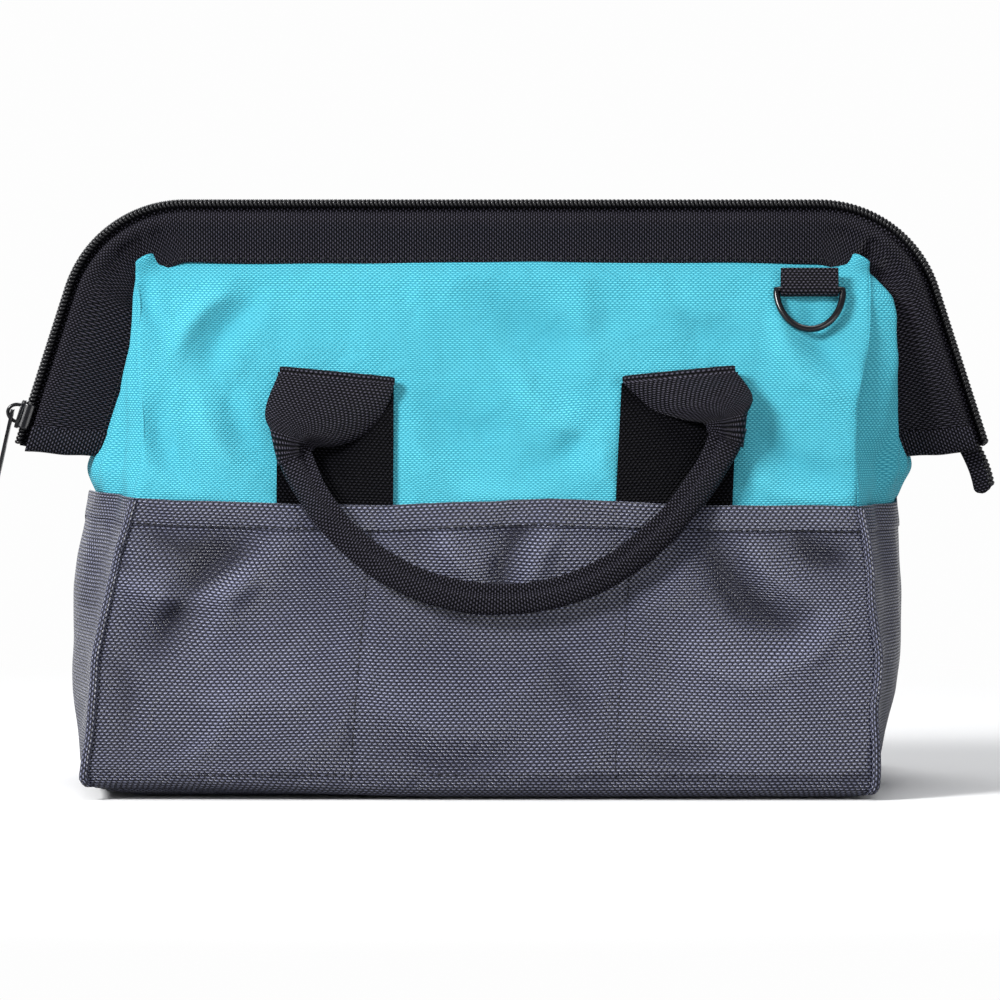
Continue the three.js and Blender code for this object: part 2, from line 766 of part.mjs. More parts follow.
const band = bandSolid();
const frameWire = frameWireSolid();
const tape = tapeSolid();
addPiece("front_band", band, webbing);
addPiece("back_band", mirroredAcross("y", band), webbing);
addPiece("front_frame_wire", frameWire, frameSteel);
addPiece("back_frame_wire", mirroredAcross("y", frameWire), frameSteel);
addPiece("front_zip_tape", tape, webbing);
addPiece("back_zip_tape", mirroredAcross("y", tape), webbing);
const binding = bindingSolid(false);
addPiece("left_wing_binding", binding, webbing);
addPiece("right_wing_binding", mirroredAcross("x", binding), webbing);
addPiece("front_zip_chain", chainSolid(-1), nylonCoil);
addPiece("back_zip_chain", chainSolid(1), nylonCoil);

for (const end of ["front", "back"]) {
  const place = (geometry) => (end === "front" ? geometry : mirroredAcross("y", geometry));
  const flap = place(flapSolid());
  addPiece(`${end}_left_strap`, place(strapSolid(-1)), webbing);
  addPiece(`${end}_right_strap`, place(strapSolid(1)), webbing);
  addPiece(`${end}_left_handle_flap`, flap, webbing);
  addPiece(`${end}_right_handle_flap`, mirroredAcross("x", flap), webbing);
  addPiece(`${end}_handle_grip`, place(gripSolid()), webbing);
}

// The left leg's own frame: its origin is the middle of the slider on the band's edge.
const sliderFrame = new THREE.Group();
const legAngle = Math.PI / 2 - legTurn; // of the leg from the vertical
sliderFrame.position.set(
  -frameHalfFoot + Math.sin(legAngle) * sliderRest,
  0,
  wingFootHeight + Math.cos(legAngle) * sliderRest,
);
sliderFrame.rotation.set(0, legAngle - Math.PI, 0);
const slider = sliderSolid();
slider.rotateX(Math.PI);
addPiece("zip_slider", slider, blackSteel, sliderFrame);
bag.add(sliderFrame);

const bridgeTop = chainRise + chainThickness + layGap + sliderPlate + bridgeHeight;
const pullHeight = bridgeTop - bridgeWire - layGap - pullBarRadius;
const pull = addPiece("pull_tab", pullSolid(), blackSteel);
pull.position.set(
  sliderFrame.position.x - Math.cos(legAngle) * pullHeight,
  0,
  sliderFrame.position.z + Math.sin(legAngle) * pullHeight,
);
pull.rotation.set(0, legAngle - pullOffChain, 0);

const tailPiece = addPiece("zip_tail", tailSolid(), webbing);
tailPiece.position.set(frameHalfFoot, 0, wingFootHeight);
tailPiece.rotation.set(0, -legAngle, 0);

const ringHeight = bandTop - bandWidthTop - ringBelowBand;
const ringLean = Math.atan(wallLean(ringHeight));
const ringDepth =
  wallAt(ringMiddle, ringHeight, clothThickness) +
  layGap +
  (ringWireRadius + layGap + ringLoopThickness) / Math.cos(ringLean);
const ringFrame = new THREE.Group();
ringFrame.position.set(ringMiddle, -ringDepth, ringHeight);
ringFrame.rotation.set(-ringLean, 0, 0);
addPiece("d_ring", ringSolid(), blackSteel, ringFrame);
addPiece("d_ring_loop", ringLoopSolid(), webbing, ringFrame);
bag.add(ringFrame);

export default bag;
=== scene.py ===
import json
import math

import bmesh
import bpy
import numpy as np
from mathutils import Matrix, Vector, noise
from mathutils.bvhtree import BVHTree

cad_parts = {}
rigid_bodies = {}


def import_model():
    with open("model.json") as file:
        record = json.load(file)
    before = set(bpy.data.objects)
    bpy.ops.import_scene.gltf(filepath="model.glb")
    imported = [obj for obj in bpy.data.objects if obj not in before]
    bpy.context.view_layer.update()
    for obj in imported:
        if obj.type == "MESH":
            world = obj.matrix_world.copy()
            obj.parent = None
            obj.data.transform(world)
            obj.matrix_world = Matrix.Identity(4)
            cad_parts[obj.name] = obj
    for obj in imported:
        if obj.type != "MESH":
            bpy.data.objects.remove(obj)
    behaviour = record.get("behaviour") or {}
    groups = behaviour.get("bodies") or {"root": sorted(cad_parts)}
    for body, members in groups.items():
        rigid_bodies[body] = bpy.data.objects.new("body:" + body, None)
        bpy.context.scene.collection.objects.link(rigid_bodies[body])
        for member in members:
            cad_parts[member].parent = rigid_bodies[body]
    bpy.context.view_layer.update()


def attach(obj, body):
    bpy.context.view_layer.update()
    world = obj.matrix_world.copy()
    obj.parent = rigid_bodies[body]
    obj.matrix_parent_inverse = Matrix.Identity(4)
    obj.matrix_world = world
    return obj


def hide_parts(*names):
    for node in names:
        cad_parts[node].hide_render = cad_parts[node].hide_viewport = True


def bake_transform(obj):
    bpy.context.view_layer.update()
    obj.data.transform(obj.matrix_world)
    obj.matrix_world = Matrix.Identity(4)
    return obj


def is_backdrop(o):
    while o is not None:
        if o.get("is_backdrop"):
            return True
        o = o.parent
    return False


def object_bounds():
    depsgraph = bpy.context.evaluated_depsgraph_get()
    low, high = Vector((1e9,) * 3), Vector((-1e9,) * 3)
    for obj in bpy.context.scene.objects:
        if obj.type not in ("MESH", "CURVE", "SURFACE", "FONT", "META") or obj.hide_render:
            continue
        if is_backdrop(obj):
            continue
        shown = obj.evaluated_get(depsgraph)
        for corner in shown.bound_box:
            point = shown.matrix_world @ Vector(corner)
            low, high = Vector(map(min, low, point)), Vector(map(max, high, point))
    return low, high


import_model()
deck = bpy.context.scene
print("frame loaded")


# Numbers along lines and round sections

def smoothstep(low, high, value):
    t = np.clip((np.asarray(value, float) - low) / (high - low), 0, 1)
    return t * t * (3 - 2 * t)


def ramp(low, high, value):  # the smooth step of one number
    return float(smoothstep(low, high, value))


def ripple(x, y, z, scale, seed=0.0):
    return noise.noise(Vector((x * scale + seed, y * scale + seed * 1.7, z * scale - seed)))


def runningLength(points):  # distance along a line of points, from 0 at the first
    return np.concatenate([[0], np.cumsum(np.linalg.norm(np.diff(points, axis=0), axis=1))])


def anglesRound(count):  # that many angles spread evenly round a circle
    return np.linspace(0, 2 * math.pi, count + 1)[:-1]


def squarer(value, power):  # bends a sine or cosine so that a round section becomes squarer
    return math.copysign(abs(value) ** power, value)


# Meshes

def meshPiece(name, points, faces, uvs=None):
    mesh = bpy.data.meshes.new(name)
    mesh.from_pydata([tuple(p) for p in points], [], [tuple(f) for f in faces])
    if uvs is not None:
        layer = mesh.uv_layers.new(name="UVMap")
        loops = np.zeros(len(mesh.loops), np.int32)
        mesh.loops.foreach_get("vertex_index", loops)
        layer.data.foreach_set("uv", np.asarray(uvs, np.float32)[loops].ravel())
    mesh.validate()
    piece = bpy.data.objects.new(name, mesh)
    deck.collection.objects.link(piece)
    return piece


def gridFaces(rows, columns, loopColumns=False):
    span = columns if loopColumns else columns - 1
    faces = []
    for r in range(rows - 1):
        for c in range(span):
            d = (c + 1) % columns
            faces.append((r * columns + c, r * columns + d, (r + 1) * columns + d, (r + 1) * columns + c))
    return faces


def gridPiece(name, table, uvs):
    rows, columns = table.shape[:2]
    return meshPiece(name, table.reshape(-1, 3), gridFaces(rows, columns), uvs.reshape(-1, 2))


def tubePiece(name, rings, uStations):
    # closed sections along a path, capped at both ends; the section's own length runs along v
    rings = np.asarray(rings, float)
    count, around = rings.shape[:2]
    closed = np.concatenate([rings, rings[:, :1]], axis=1)
    v = runningLength(closed[count // 2])
    points = closed.reshape(-1, 3)
    uvs = np.stack(np.meshgrid(uStations, v, indexing="ij"), axis=-1).reshape(-1, 2)
    faces = gridFaces(count, around + 1)
    faces.append(tuple(range(around - 1, -1, -1)))
    last = (count - 1) * (around + 1)
    faces.append(tuple(last + i for i in range(around)))
    piece = meshPiece(name, points, faces, uvs)
    weld(piece, 1e-6)
    return piece


def weld(piece, distance=1e-5):
    work = bmesh.new()
    work.from_mesh(piece.data)
    bmesh.ops.remove_doubles(work, verts=work.verts, dist=distance)
    bmesh.ops.recalc_face_normals(work, faces=work.faces)
    work.to_mesh(piece.data)
    work.free()


def baked(piece):  # puts what the modifiers make into the mesh and takes the modifiers off
    graph = bpy.context.evaluated_depsgraph_get()
    mesh = bpy.data.meshes.new_from_object(piece.evaluated_get(graph))
    piece.modifiers.clear()
    piece.data = mesh
    return piece


def thicken(piece, thickness, offset=-1.0, levels=0, bevel=0.0):
    solid = piece.modifiers.new("thickness", "SOLIDIFY")
    solid.thickness = thickness
    solid.offset = offset
    solid.use_even_offset = False
    if bevel:
        edge = piece.modifiers.new("edge", "BEVEL")
        edge.width = bevel
        edge.segments = 2
        edge.limit_method = "ANGLE"
    if levels:
        sub = piece.modifiers.new("finer", "SUBSURF")
        sub.levels = levels
        sub.render_levels = levels
    return baked(piece)


def curvePiece(name, splines, bevel=0.0, extrude=0.0, closed=True, flat=False, resolution=4):
    data = bpy.data.curves.new(name, "CURVE")
    data.dimensions = "2D" if flat else "3D"
    data.fill_mode = "BOTH" if flat else "FULL"
    data.extrude = extrude
    data.bevel_depth = bevel
    data.bevel_resolution = resolution
    data.use_fill_caps = True
    for points in splines:
        spline = data.splines.new("POLY")
        spline.points.add(len(points) - 1)
        for place, p in zip(spline.points, points):
            place.co = (p[0], p[1], p[2] if len(p) > 2 else 0, 1)
        spline.use_cyclic_u = closed
    maker = bpy.data.objects.new(name + "Curve", data)
    deck.collection.objects.link(maker)
    graph = bpy.context.evaluated_depsgraph_get()
    mesh = bpy.data.meshes.new_from_object(maker.evaluated_get(graph))
    bpy.data.objects.remove(maker)
    piece = bpy.data.objects.new(name, mesh)
    deck.collection.objects.link(piece)
    weld(piece, 1e-7)
    return piece


def joined(name, *parts):
    work = bmesh.new()
    for part in parts:
        part.data.transform(part.matrix_world)
        work.from_mesh(part.data)
        bpy.data.objects.remove(part)
    mesh = bpy.data.meshes.new(name)
    work.to_mesh(mesh)
    work.free()
    piece = bpy.data.objects.new(name, mesh)
    deck.collection.objects.link(piece)
    return piece


def mirrored(piece, name, axis):
    mesh = piece.data.copy()
    scale = [1, 1, 1]
    scale[axis] = -1
    mesh.transform(Matrix.Diagonal((*scale, 1)))
    mesh.flip_normals()
    copy = bpy.data.objects.new(name, mesh)
    deck.collection.objects.link(copy)
    return copy


# Materials

def newMaterial(name):
    material = bpy.data.materials.new(name)
    material.use_nodes = True
    tree = material.node_tree
    tree.nodes.clear()
    out = tree.nodes.new("ShaderNodeOutputMaterial")
    shader = tree.nodes.new("ShaderNodeBsdfPrincipled")
    tree.links.new(shader.outputs[0], out.inputs["Surface"])
    return material, tree, shader


def mathNode(tree, operation, a, b=None):
    node = tree.nodes.new("ShaderNodeMath")
    node.operation = operation
    for i, value in enumerate((a, b)):
        if value is None:
            continue
        if isinstance(value, (int, float)):
            node.inputs[i].default_value = value
        else:
            tree.links.new(value, node.inputs[i])
    return node.outputs[0]


def noiseNode(tree, vector, **settings):  # settings are the noise's inputs by name
    node = tree.nodes.new("ShaderNodeTexNoise")
    for name, value in settings.items():
        node.inputs[name].default_value = value
    tree.links.new(vector, node.inputs["Vector"])
    return node


def colourMix(tree, share, first, second):  # first where the share is 0, second where it is 1
    node = tree.nodes.new("ShaderNodeMix")
    node.data_type = "RGBA"
    node.inputs[6].default_value = (*first, 1)
    node.inputs[7].default_value = (*second, 1)
    tree.links.new(share, node.inputs[0])
    return node.outputs[2]


def bumpNode(tree, height, strength, distance):
    node = tree.nodes.new("ShaderNodeBump")
    node.inputs["Strength"].default_value = strength
    node.inputs["Distance"].default_value = distance
    tree.links.new(height, node.inputs["Height"])
    return node


def weaveGroup():  # height of a plain weave, from a vector that counts threads
    group = bpy.data.node_groups.new("plainWeave", "ShaderNodeTree")
    group.interface.new_socket("Vector", in_out="INPUT", socket_type="NodeSocketVector")
    group.interface.new_socket("Height", in_out="OUTPUT", socket_type="NodeSocketFloat")
    # Lit is painted light: near 1 on the raised threads, near 0 in the gaps between them
    group.interface.new_socket("Lit", in_out="OUTPUT", socket_type="NodeSocketFloat")
    start = group.nodes.new("NodeGroupInput")
    end = group.nodes.new("NodeGroupOutput")
    split = group.nodes.new("ShaderNodeSeparateXYZ")
    group.links.new(start.outputs[0], split.inputs[0])
    turned = mathNode(group, "MULTIPLY", split.outputs[1], math.pi)
    along = mathNode(group, "ABSOLUTE", mathNode(group, "SINE", turned))
    shifted = mathNode(group, "ADD", split.outputs[0], mathNode(group, "FLOOR", split.outputs[1]))
    half = mathNode(group, "MULTIPLY", shifted, math.pi / 2)
    across = mathNode(group, "ABSOLUTE", mathNode(group, "SINE", half))
    over = mathNode(group, "MULTIPLY", mathNode(group, "POWER", across, 0.8),
        mathNode(group, "POWER", along, 1.1))
    group.links.new(over, end.inputs[0])
    group.links.new(mathNode(group, "MULTIPLY", over, over), end.inputs[1])
    return group


plainWeave = weaveGroup()

anyWebbing = {  # what the three black webbings have in common
    "turn": math.pi / 2, "tone": 0.0, "contrast": 1.2, "roughness": 0.5, "sheen": 0.0,
    "bump": 1.0, "mottle": 0.25,
}
# each cloth's fold strength paints shade into the hollows and highlight onto the ridges of the walls' folds
cloths = {  # low and high: colours between and on the threads, which paint shade into the weave's gaps and highlight onto its raised threads; warp: size of a thread in metres
    "canvas": {
        "low": (0.028, 0.285, 0.39), "high": (0.148, 0.665, 0.785), "warp": (0.0010, 0.0010),
        "turn": 0.0, "tone": 0.26, "contrast": 0.8, "roughness": 0.8, "sheen": 0.02,
        "bump": 0.8, "lift": 0.0004, "mottle": 0.2, "specular": 0.18, "crumple": 0.0020,
    },
    "coatedCloth": {
        "low": (0.008, 0.008, 0.017), "high": (0.262, 0.275, 0.40), "warp": (0.0012, 0.0014),
        "turn": 0.0, "tone": 0.78, "contrast": 1.15, "roughness": 0.35, "sheen": 0.0,
        "bump": 0.85, "lift": 0.0009, "mottle": 0.3, "specular": 0.5, "crumple": 0.0034,
    },
    "webbing": {
        **anyWebbing, "low": (0.0008, 0.0008, 0.0015), "high": (0.10, 0.094, 0.13),
        "warp": (0.00125, 0.00095), "lift": 0.0012, "specular": 0.12, "crumple": 0.0010,
    },
    # a darker copy of the webbing for the straps, with painted shade standing for the shadow they hang in
    "paintedShadeWebbing": {
        **anyWebbing, "low": (0.0004, 0.0004, 0.0008), "high": (0.015, 0.0145, 0.020),
        "warp": (0.00125, 0.00095), "lift": 0.0010, "specular": 0.07, "crumple": 0.0010,
    },
    "bandWebbing": {
        **anyWebbing, "low": (0.0008, 0.0008, 0.0015), "high": (0.086, 0.080, 0.112),
        "warp": (0.00105, 0.00095), "lift": 0.0011, "specular": 0.12, "crumple": 0.0012,
    },
}
clothNoise = {"wander": 60, "bend": 0.35, "broad": 14, "rumple": 38}  # noise scales; bend is in threads


def clothMaterial(name, look):
    material, tree, shader = newMaterial(name)
    uv = tree.nodes.new("ShaderNodeUVMap")
    uv.uv_map = "UVMap"
    mapping = tree.nodes.new("ShaderNodeMapping")
    mapping.inputs["Scale"].default_value = (1 / look["warp"][0], 1 / look["warp"][1], 1)
    mapping.inputs["Rotation"].default_value = (0, 0, look["turn"])
    tree.links.new(uv.outputs[0], mapping.inputs[0])
    wander = noiseNode(tree, uv.outputs[0], Scale=clothNoise["wander"])
    bend = tree.nodes.new("ShaderNodeVectorMath")
    bend.operation = "MULTIPLY_ADD"
    tree.links.new(wander.outputs["Color"], bend.inputs[0])
    bend.inputs[1].default_value = (clothNoise["bend"], clothNoise["bend"], 0)
    tree.links.new(mapping.outputs[0], bend.inputs[2])
    weave = tree.nodes.new("ShaderNodeGroup")
    weave.node_tree = plainWeave
    tree.links.new(bend.outputs[0], weave.inputs[0])
    place = tree.nodes.new("ShaderNodeTexCoord")
    broad = noiseNode(tree, place.outputs["Object"], Scale=clothNoise["broad"], Detail=5)
    # painted thread light: the colour goes dark in the weave's gaps and bright on the raised threads
    paintedThreadLight = mathNode(tree, "POWER", weave.outputs[1], look["contrast"])
    mottled = mathNode(tree, "MULTIPLY", broad.outputs["Fac"], 2 * look["mottle"])
    uneven = mathNode(tree, "ADD", mottled, 1 - look["mottle"])
    folded = tree.nodes.new("ShaderNodeAttribute")  # painted fold shade set on the walls: -1 darkens a hollow, 1 lightens a ridge
    folded.attribute_name = "paintedFoldShade"
    tone = mathNode(tree, "MULTIPLY", folded.outputs["Fac"], look["tone"])
    paintedShadeFactor = mathNode(tree, "ADD", tone, 1.0)
    shade = mathNode(tree, "MULTIPLY", mathNode(tree, "MULTIPLY", paintedThreadLight, uneven), paintedShadeFactor)
    tree.links.new(colourMix(tree, shade, look["low"], look["high"]), shader.inputs["Base Color"])
    patches = mathNode(tree, "MULTIPLY", broad.outputs["Fac"], 0.16)
    worn = mathNode(tree, "ADD", patches, look["roughness"] - 0.08)
    rough = mathNode(tree, "SUBTRACT", worn, mathNode(tree, "MULTIPLY", weave.outputs[1], 0.12))
    tree.links.new(rough, shader.inputs["Roughness"])
    shader.inputs["Sheen Weight"].default_value = look["sheen"]
    shader.inputs["Sheen Roughness"].default_value = 0.5
    shader.inputs["Specular IOR Level"].default_value = look["specular"]
    bump = bumpNode(tree, weave.outputs[0], look["bump"], look["lift"])
    rumple = noiseNode(tree, place.outputs["Object"], Scale=clothNoise["rumple"], Detail=2.5, Distortion=0.6)
    creased = bumpNode(tree, rumple.outputs["Fac"], 1.0, look["crumple"])
    tree.links.new(creased.outputs[0], bump.inputs["Normal"])
    tree.links.new(bump.outputs[0], shader.inputs["Normal"])
    return material


hards = {
    "blackMetal": {"base": (0.003, 0.003, 0.004), "roughness": 0.24, "metallic": 0.0, "scratch": 0.12},
    "coilPlastic": {"base": (0.003, 0.003, 0.004), "roughness": 0.36, "metallic": 0.0, "scratch": 0.1},
    "frameSteel": {"base": (0.35, 0.35, 0.36), "roughness": 0.35, "metallic": 1.0, "scratch": 0.2},
    "boardPlastic": {"base": (0.03, 0.03, 0.034), "roughness": 0.6, "metallic": 0.0, "scratch": 0.2},
    "thread": {"base": (0.003, 0.003, 0.005), "roughness": 0.6, "metallic": 0.0, "scratch": 0.2},
}


def hardMaterial(name, look):
    material, tree, shader = newMaterial(name)
    place = tree.nodes.new("ShaderNodeTexCoord")
    grain = noiseNode(tree, place.outputs["Object"], Scale=420, Detail=4)
    paler = [c * 1.9 for c in look["base"]]
    tree.links.new(colourMix(tree, grain.outputs["Fac"], look["base"], paler), shader.inputs["Base Color"])
    scratched = mathNode(tree, "MULTIPLY", grain.outputs["Fac"], look["scratch"])
    rough = mathNode(tree, "ADD", scratched, look["roughness"] - look["scratch"] / 2)
    tree.links.new(rough, shader.inputs["Roughness"])
    shader.inputs["Metallic"].default_value = look["metallic"]
    return material


looks = {name: clothMaterial(name, look) for name, look in cloths.items()}
looks.update({name: hardMaterial(name, look) for name, look in hards.items()})


def finishPiece(piece, look, body, *nodes):  # body is None for a piece that stays without a body
    piece.data.materials.clear()
    piece.data.materials.append(looks[look])
    for polygon in piece.data.polygons:
        polygon.use_smooth = True
    if body:
        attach(piece, body)
    if nodes:
        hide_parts(*nodes)
    return piece


# Rows of repeated small pieces

def rowTree():  # instances along a line, each turned along it and standing on its normal
    tree = bpy.data.node_groups.new("rowOfPieces", "GeometryNodeTree")
    face = tree.interface
    face.new_socket("Geometry", in_out="INPUT", socket_type="NodeSocketGeometry")
    face.new_socket("Item", in_out="INPUT", socket_type="NodeSocketObject")
    face.new_socket("Spacing", in_out="INPUT", socket_type="NodeSocketFloat")
    face.new_socket("Finish", in_out="INPUT", socket_type="NodeSocketMaterial")
    face.new_socket("Geometry", in_out="OUTPUT", socket_type="NodeSocketGeometry")
    nodes, links = tree.nodes, tree.links
    start, end = nodes.new("NodeGroupInput"), nodes.new("NodeGroupOutput")
    line = nodes.new("GeometryNodeMeshToCurve")
    links.new(start.outputs["Geometry"], line.inputs[0])
    even = nodes.new("GeometryNodeResampleCurve")
    even.mode = "LENGTH"
    links.new(line.outputs[0], even.inputs["Curve"])
    links.new(start.outputs["Spacing"], even.inputs["Length"])
    tangent = nodes.new("GeometryNodeInputTangent")
    first = nodes.new("FunctionNodeAlignRotationToVector")
    first.axis = "X"
    links.new(tangent.outputs[0], first.inputs["Vector"])
    up = nodes.new("GeometryNodeInputNamedAttribute")
    up.data_type = "FLOAT_VECTOR"
    up.inputs["Name"].default_value = "up"
    second = nodes.new("FunctionNodeAlignRotationToVector")
    second.axis = "Z"
    second.pivot_axis = "X"
    links.new(first.outputs[0], second.inputs["Rotation"])
    links.new(up.outputs["Attribute"], second.inputs["Vector"])
    item = nodes.new("GeometryNodeObjectInfo")
    links.new(start.outputs["Item"], item.inputs["Object"])
    put = nodes.new("GeometryNodeInstanceOnPoints")
    links.new(even.outputs[0], put.inputs["Points"])
    links.new(item.outputs["Geometry"], put.inputs["Instance"])
    links.new(second.outputs[0], put.inputs["Rotation"])
    real = nodes.new("GeometryNodeRealizeInstances")
    links.new(put.outputs[0], real.inputs[0])
    paint = nodes.new("GeometryNodeSetMaterial")
    links.new(real.outputs[0], paint.inputs["Geometry"])
    links.new(start.outputs["Finish"], paint.inputs["Material"])
    links.new(paint.outputs[0], end.inputs[0])
    return tree


rowOfPieces = rowTree()


def rowPiece(name, lines, item, spacing, look):  # each line is a list of (point, up) pairs
    points, ups, edges = [], [], []
    for line in lines:
        first = len(points)
        for point, up in line:
            points.append(tuple(point))
            ups.append(tuple(up))
        edges += [(first + i, first + i + 1) for i in range(len(line) - 1)]
    mesh = bpy.data.meshes.new(name)
    mesh.from_pydata(points, edges, [])
    stored = mesh.attributes.new("up", "FLOAT_VECTOR", "POINT")
    stored.data.foreach_set("vector", np.asarray(ups, np.float32).ravel())
    piece = bpy.data.objects.new(name, mesh)
    deck.collection.objects.link(piece)
    repeat = piece.modifiers.new("row", "NODES")
    repeat.node_group = rowOfPieces
    sockets = {s.name: s.identifier for s in rowOfPieces.interface.items_tree if s.in_out == "INPUT"}
    repeat[sockets["Item"]] = item
    repeat[sockets["Spacing"]] = spacing
    repeat[sockets["Finish"]] = looks[look]
    return baked(piece)


def stitchItem(length=0.0024, radius=0.0003):
    rings = []
    for t in np.linspace(-1, 1, 7):
        size = radius * math.sqrt(max(0.02, 1 - t * t))
        sink = radius * 0.9 * (t * t)
        angles = anglesRound(6)
        rings.append([(t * length / 2, size * math.cos(a), size * math.sin(a) * 0.8 - sink) for a in angles])
    return tubePiece("stitchItem", rings, np.linspace(0, length, 7))


stitch = stitchItem()
stitch.hide_render = True


# Body of the bag

wall = {
    "length": 0.336, "topLength": 0.322, "height": 0.229, "footDepth": 0.0946, "topDepth": 0.005,
    "fullness": 1.25, "crown": 0.005, "slump": 0.0095, "slumpTop": 0.15,
}
shellGrid = {"front": 112, "gusset": 46}


def wallDepth(z):
    t = np.clip(np.asarray(z, float) / wall["height"], 0, 1)
    return wall["topDepth"] + (wall["footDepth"] - wall["topDepth"]) * (1 - t ** wall["fullness"])


def halfLength(z):
    narrowing = (wall["length"] - wall["topLength"]) / 2
    return wall["length"] / 2 - narrowing * np.asarray(z, float) / wall["height"]


def crownAt(x, z):
    across = np.minimum(1, np.abs(x) / halfLength(z))
    return wall["crown"] * (1 - across**2) * np.sin(math.pi * np.clip(z / wall["height"], 0, 1))


def slumpAt(z):
    return -wall["slump"] * (1 - smoothstep(0, wall["slumpTop"], z))


seamIn = {
    "heights": (0.0, 0.06, 0.095, 0.12, 0.145, 0.168, 0.197, 0.23),
    "left": (0.0, 0.0006, 0.0045, 0.0092, 0.0088, 0.0072, 0.0036, 0.002),
    "right": (0.0, 0.001, 0.006, 0.011, 0.0105, 0.0085, 0.0036, 0.0012),
}


def drawnIn(end, z):
    return float(np.interp(z, seamIn["heights"], seamIn[end]))


def shellTable(heights, insets, layer, reachLeft, reachRight, puff, tuck=lambda z: 0.0):
    # points of a ring round the bag: front, right gusset, back, left gusset
    f, g = shellGrid["front"], shellGrid["gusset"]
    table = np.zeros((len(heights), 2 * f + 2 * g, 3))
    for r, (z, inset) in enumerate(zip(heights, insets)):
        half = float(halfLength(z)) - inset
        depth = float(wallDepth(z)) + layer - inset - tuck(z)
        slump = float(slumpAt(z))
        inLeft, inRight = drawnIn("left", z), drawnIn("right", z)
        x = -(half - inLeft) + (2 * half - inLeft - inRight) * np.linspace(0, 1, f + 1)[:-1]
        swell = crownAt(x, max(z, 0.0)) + puff(x / half, z, 1)
        table[r, :f] = np.stack([x + slump, -(depth + swell), np.full(f, z)], axis=1)
        t = np.linspace(-1, 1, g + 1)[:-1]
        across = 1 - np.abs(t) ** 1.7
        for side, reach, start, pulled in ((1, reachRight, f, inRight), (-1, reachLeft, 2 * f + g, inLeft)):
            out, fold = reach(z)
            pleatAt = 0.62 + 0.12 * ramp(0.16, 0.205, z)
            pleat = np.exp(-(((np.abs(t) - pleatAt) / 0.16) ** 2))
            crease = np.exp(-(((np.abs(t) - 0.9) / 0.05) ** 2)) * 0.004 * ramp(0.118, 0.14, z)
            crease *= 1 - ramp(0.2, 0.222, z)
            edge = half - pulled + across * (out + pulled) - pleat * fold - crease
            table[r, start:start + g] = np.stack(
                [side * edge + slump, side * t * depth, np.full(g, z)], axis=1)
        xBack = (half - inRight) - (2 * half - inLeft - inRight) * np.linspace(0, 1, f + 1)[:-1]
        swellBack = crownAt(xBack, max(z, 0.0)) + puff(xBack / half, z, -1)
        table[r, f + g:2 * f + g] = np.stack([xBack + slump, depth + swellBack, np.full(f, z)], axis=1)
    return table


def reachTable(places):  # places are (height, how far the gusset stands out, depth of its pleat)
    zs, outs, folds = (list(v) for v in zip(*places))
    return lambda z: (float(np.interp(z, zs, outs)), float(np.interp(z, zs, folds)))


wing = {"edgeX": 0.1759, "low": 0.1351, "slope": 0.3235, "overlap": 0.002}  # inner edge of a hanging wing
billow = {
    "heights": (0.140, 0.150, 0.166, 0.186, 0.203, 0.2105, 0.2165, 0.222),
    "shares": (0.0, 0.35, 0.72, 0.95, 1.0, 0.85, 0.4, 0.0),
}


def wingReach(z):  # where the gusset's middle meets the wing's inner edge, past the walls' edge
    edgeX = wing["edgeX"] - max(0.0, z - wing["low"]) * wing["slope"]
    return max(-0.005, edgeX + wing["overlap"] - float(halfLength(z)))


def upperReach(waist, most):  # most is how far the gusset billows out at its fullest height
    def reach(z):
        if z > wing["low"]:
            puffed = most * float(np.interp(z, billow["heights"], billow["shares"]))
            return wingReach(z), 0.004 * max(0.0, 1 - (z - wing["low"]) / 0.07) - puffed
        share = max(0.0, (z - 0.12) / 0.0151)
        return waist + (wingReach(0.1352) - waist) * share, 0.004
    return reach


folding = {"gain": 1.7, "fullShadeHeight": 0.0026}  # fullShadeHeight is the fold height at which the painted shade in a hollow, and the painted highlight on a ridge, are full


def foldField(x, z, folds, gain):
    # height of soft ridges and hollows; each fold is a line's two ends, its width and its height in mm
    total = np.zeros_like(np.asarray(x, float))
    for ax, az, bx, bz, width, height in folds:
        a, b = np.array([ax, az]) / 1000, np.array([bx, bz]) / 1000
        run = b - a
        t = ((x - a[0]) * run[0] + (z - a[1]) * run[1]) / float(run @ run)
        near = np.clip(t, 0, 1)
        dx, dz = x - (a[0] + near * run[0]), z - (a[1] + near * run[1])
        length = float(np.linalg.norm(run))
        bow = 0.12 * length * np.sin(math.pi * near)
        away = np.hypot(dx - bow * run[1] / length, dz + bow * run[0] / length)
        taper = 0.35 + 0.65 * np.sin(math.pi * near) ** 0.8
        reach = away / (width / 1000)
        profile = 0.6 * np.exp(-(reach**2)) + 0.4 * np.exp(-1.6 * reach)
        total = total + height / 1000 * taper * gain * profile
    return total


canvasFolds = [
    (-153, 224, -149, 196, 3.0, -2.4), (-118, 214, -141, 186, 6.0, 2.6), (-104, 210, -128, 176, 7.0, -2.4),
    (-132, 176, -104, 132, 8.0, 2.4), (-118, 172, -96, 136, 6.0, -2.4), (-146, 168, -138, 132, 5.0, -2.0),
    (-44, 219, -96, 209, 8.0, 1.8), (-6, 210, 48, 194, 11.0, -2.8), (30, 206, 64, 180, 8.0, 2.2),
    (-38, 168, 4, 156, 10.0, -2.6), (6, 178, 44, 152, 9.0, 2.8), (44, 150, 50, 128, 6.0, 2.0),
    (-36, 144, 24, 128, 8.0, 2.0), (12, 140, 40, 160, 6.0, -2.0), (118, 206, 146, 166, 8.0, 2.6),
    (132, 208, 152, 172, 5.0, -2.2), (108, 158, 148, 134, 7.0, -2.4), (104, 140, 150, 125, 5.0, 2.0),
    (60, 222, 110, 214, 7.0, 1.6), (74, 204, 108, 194, 7.0, -1.8), (-150, 140, -122, 126, 6.0, 1.8),
]
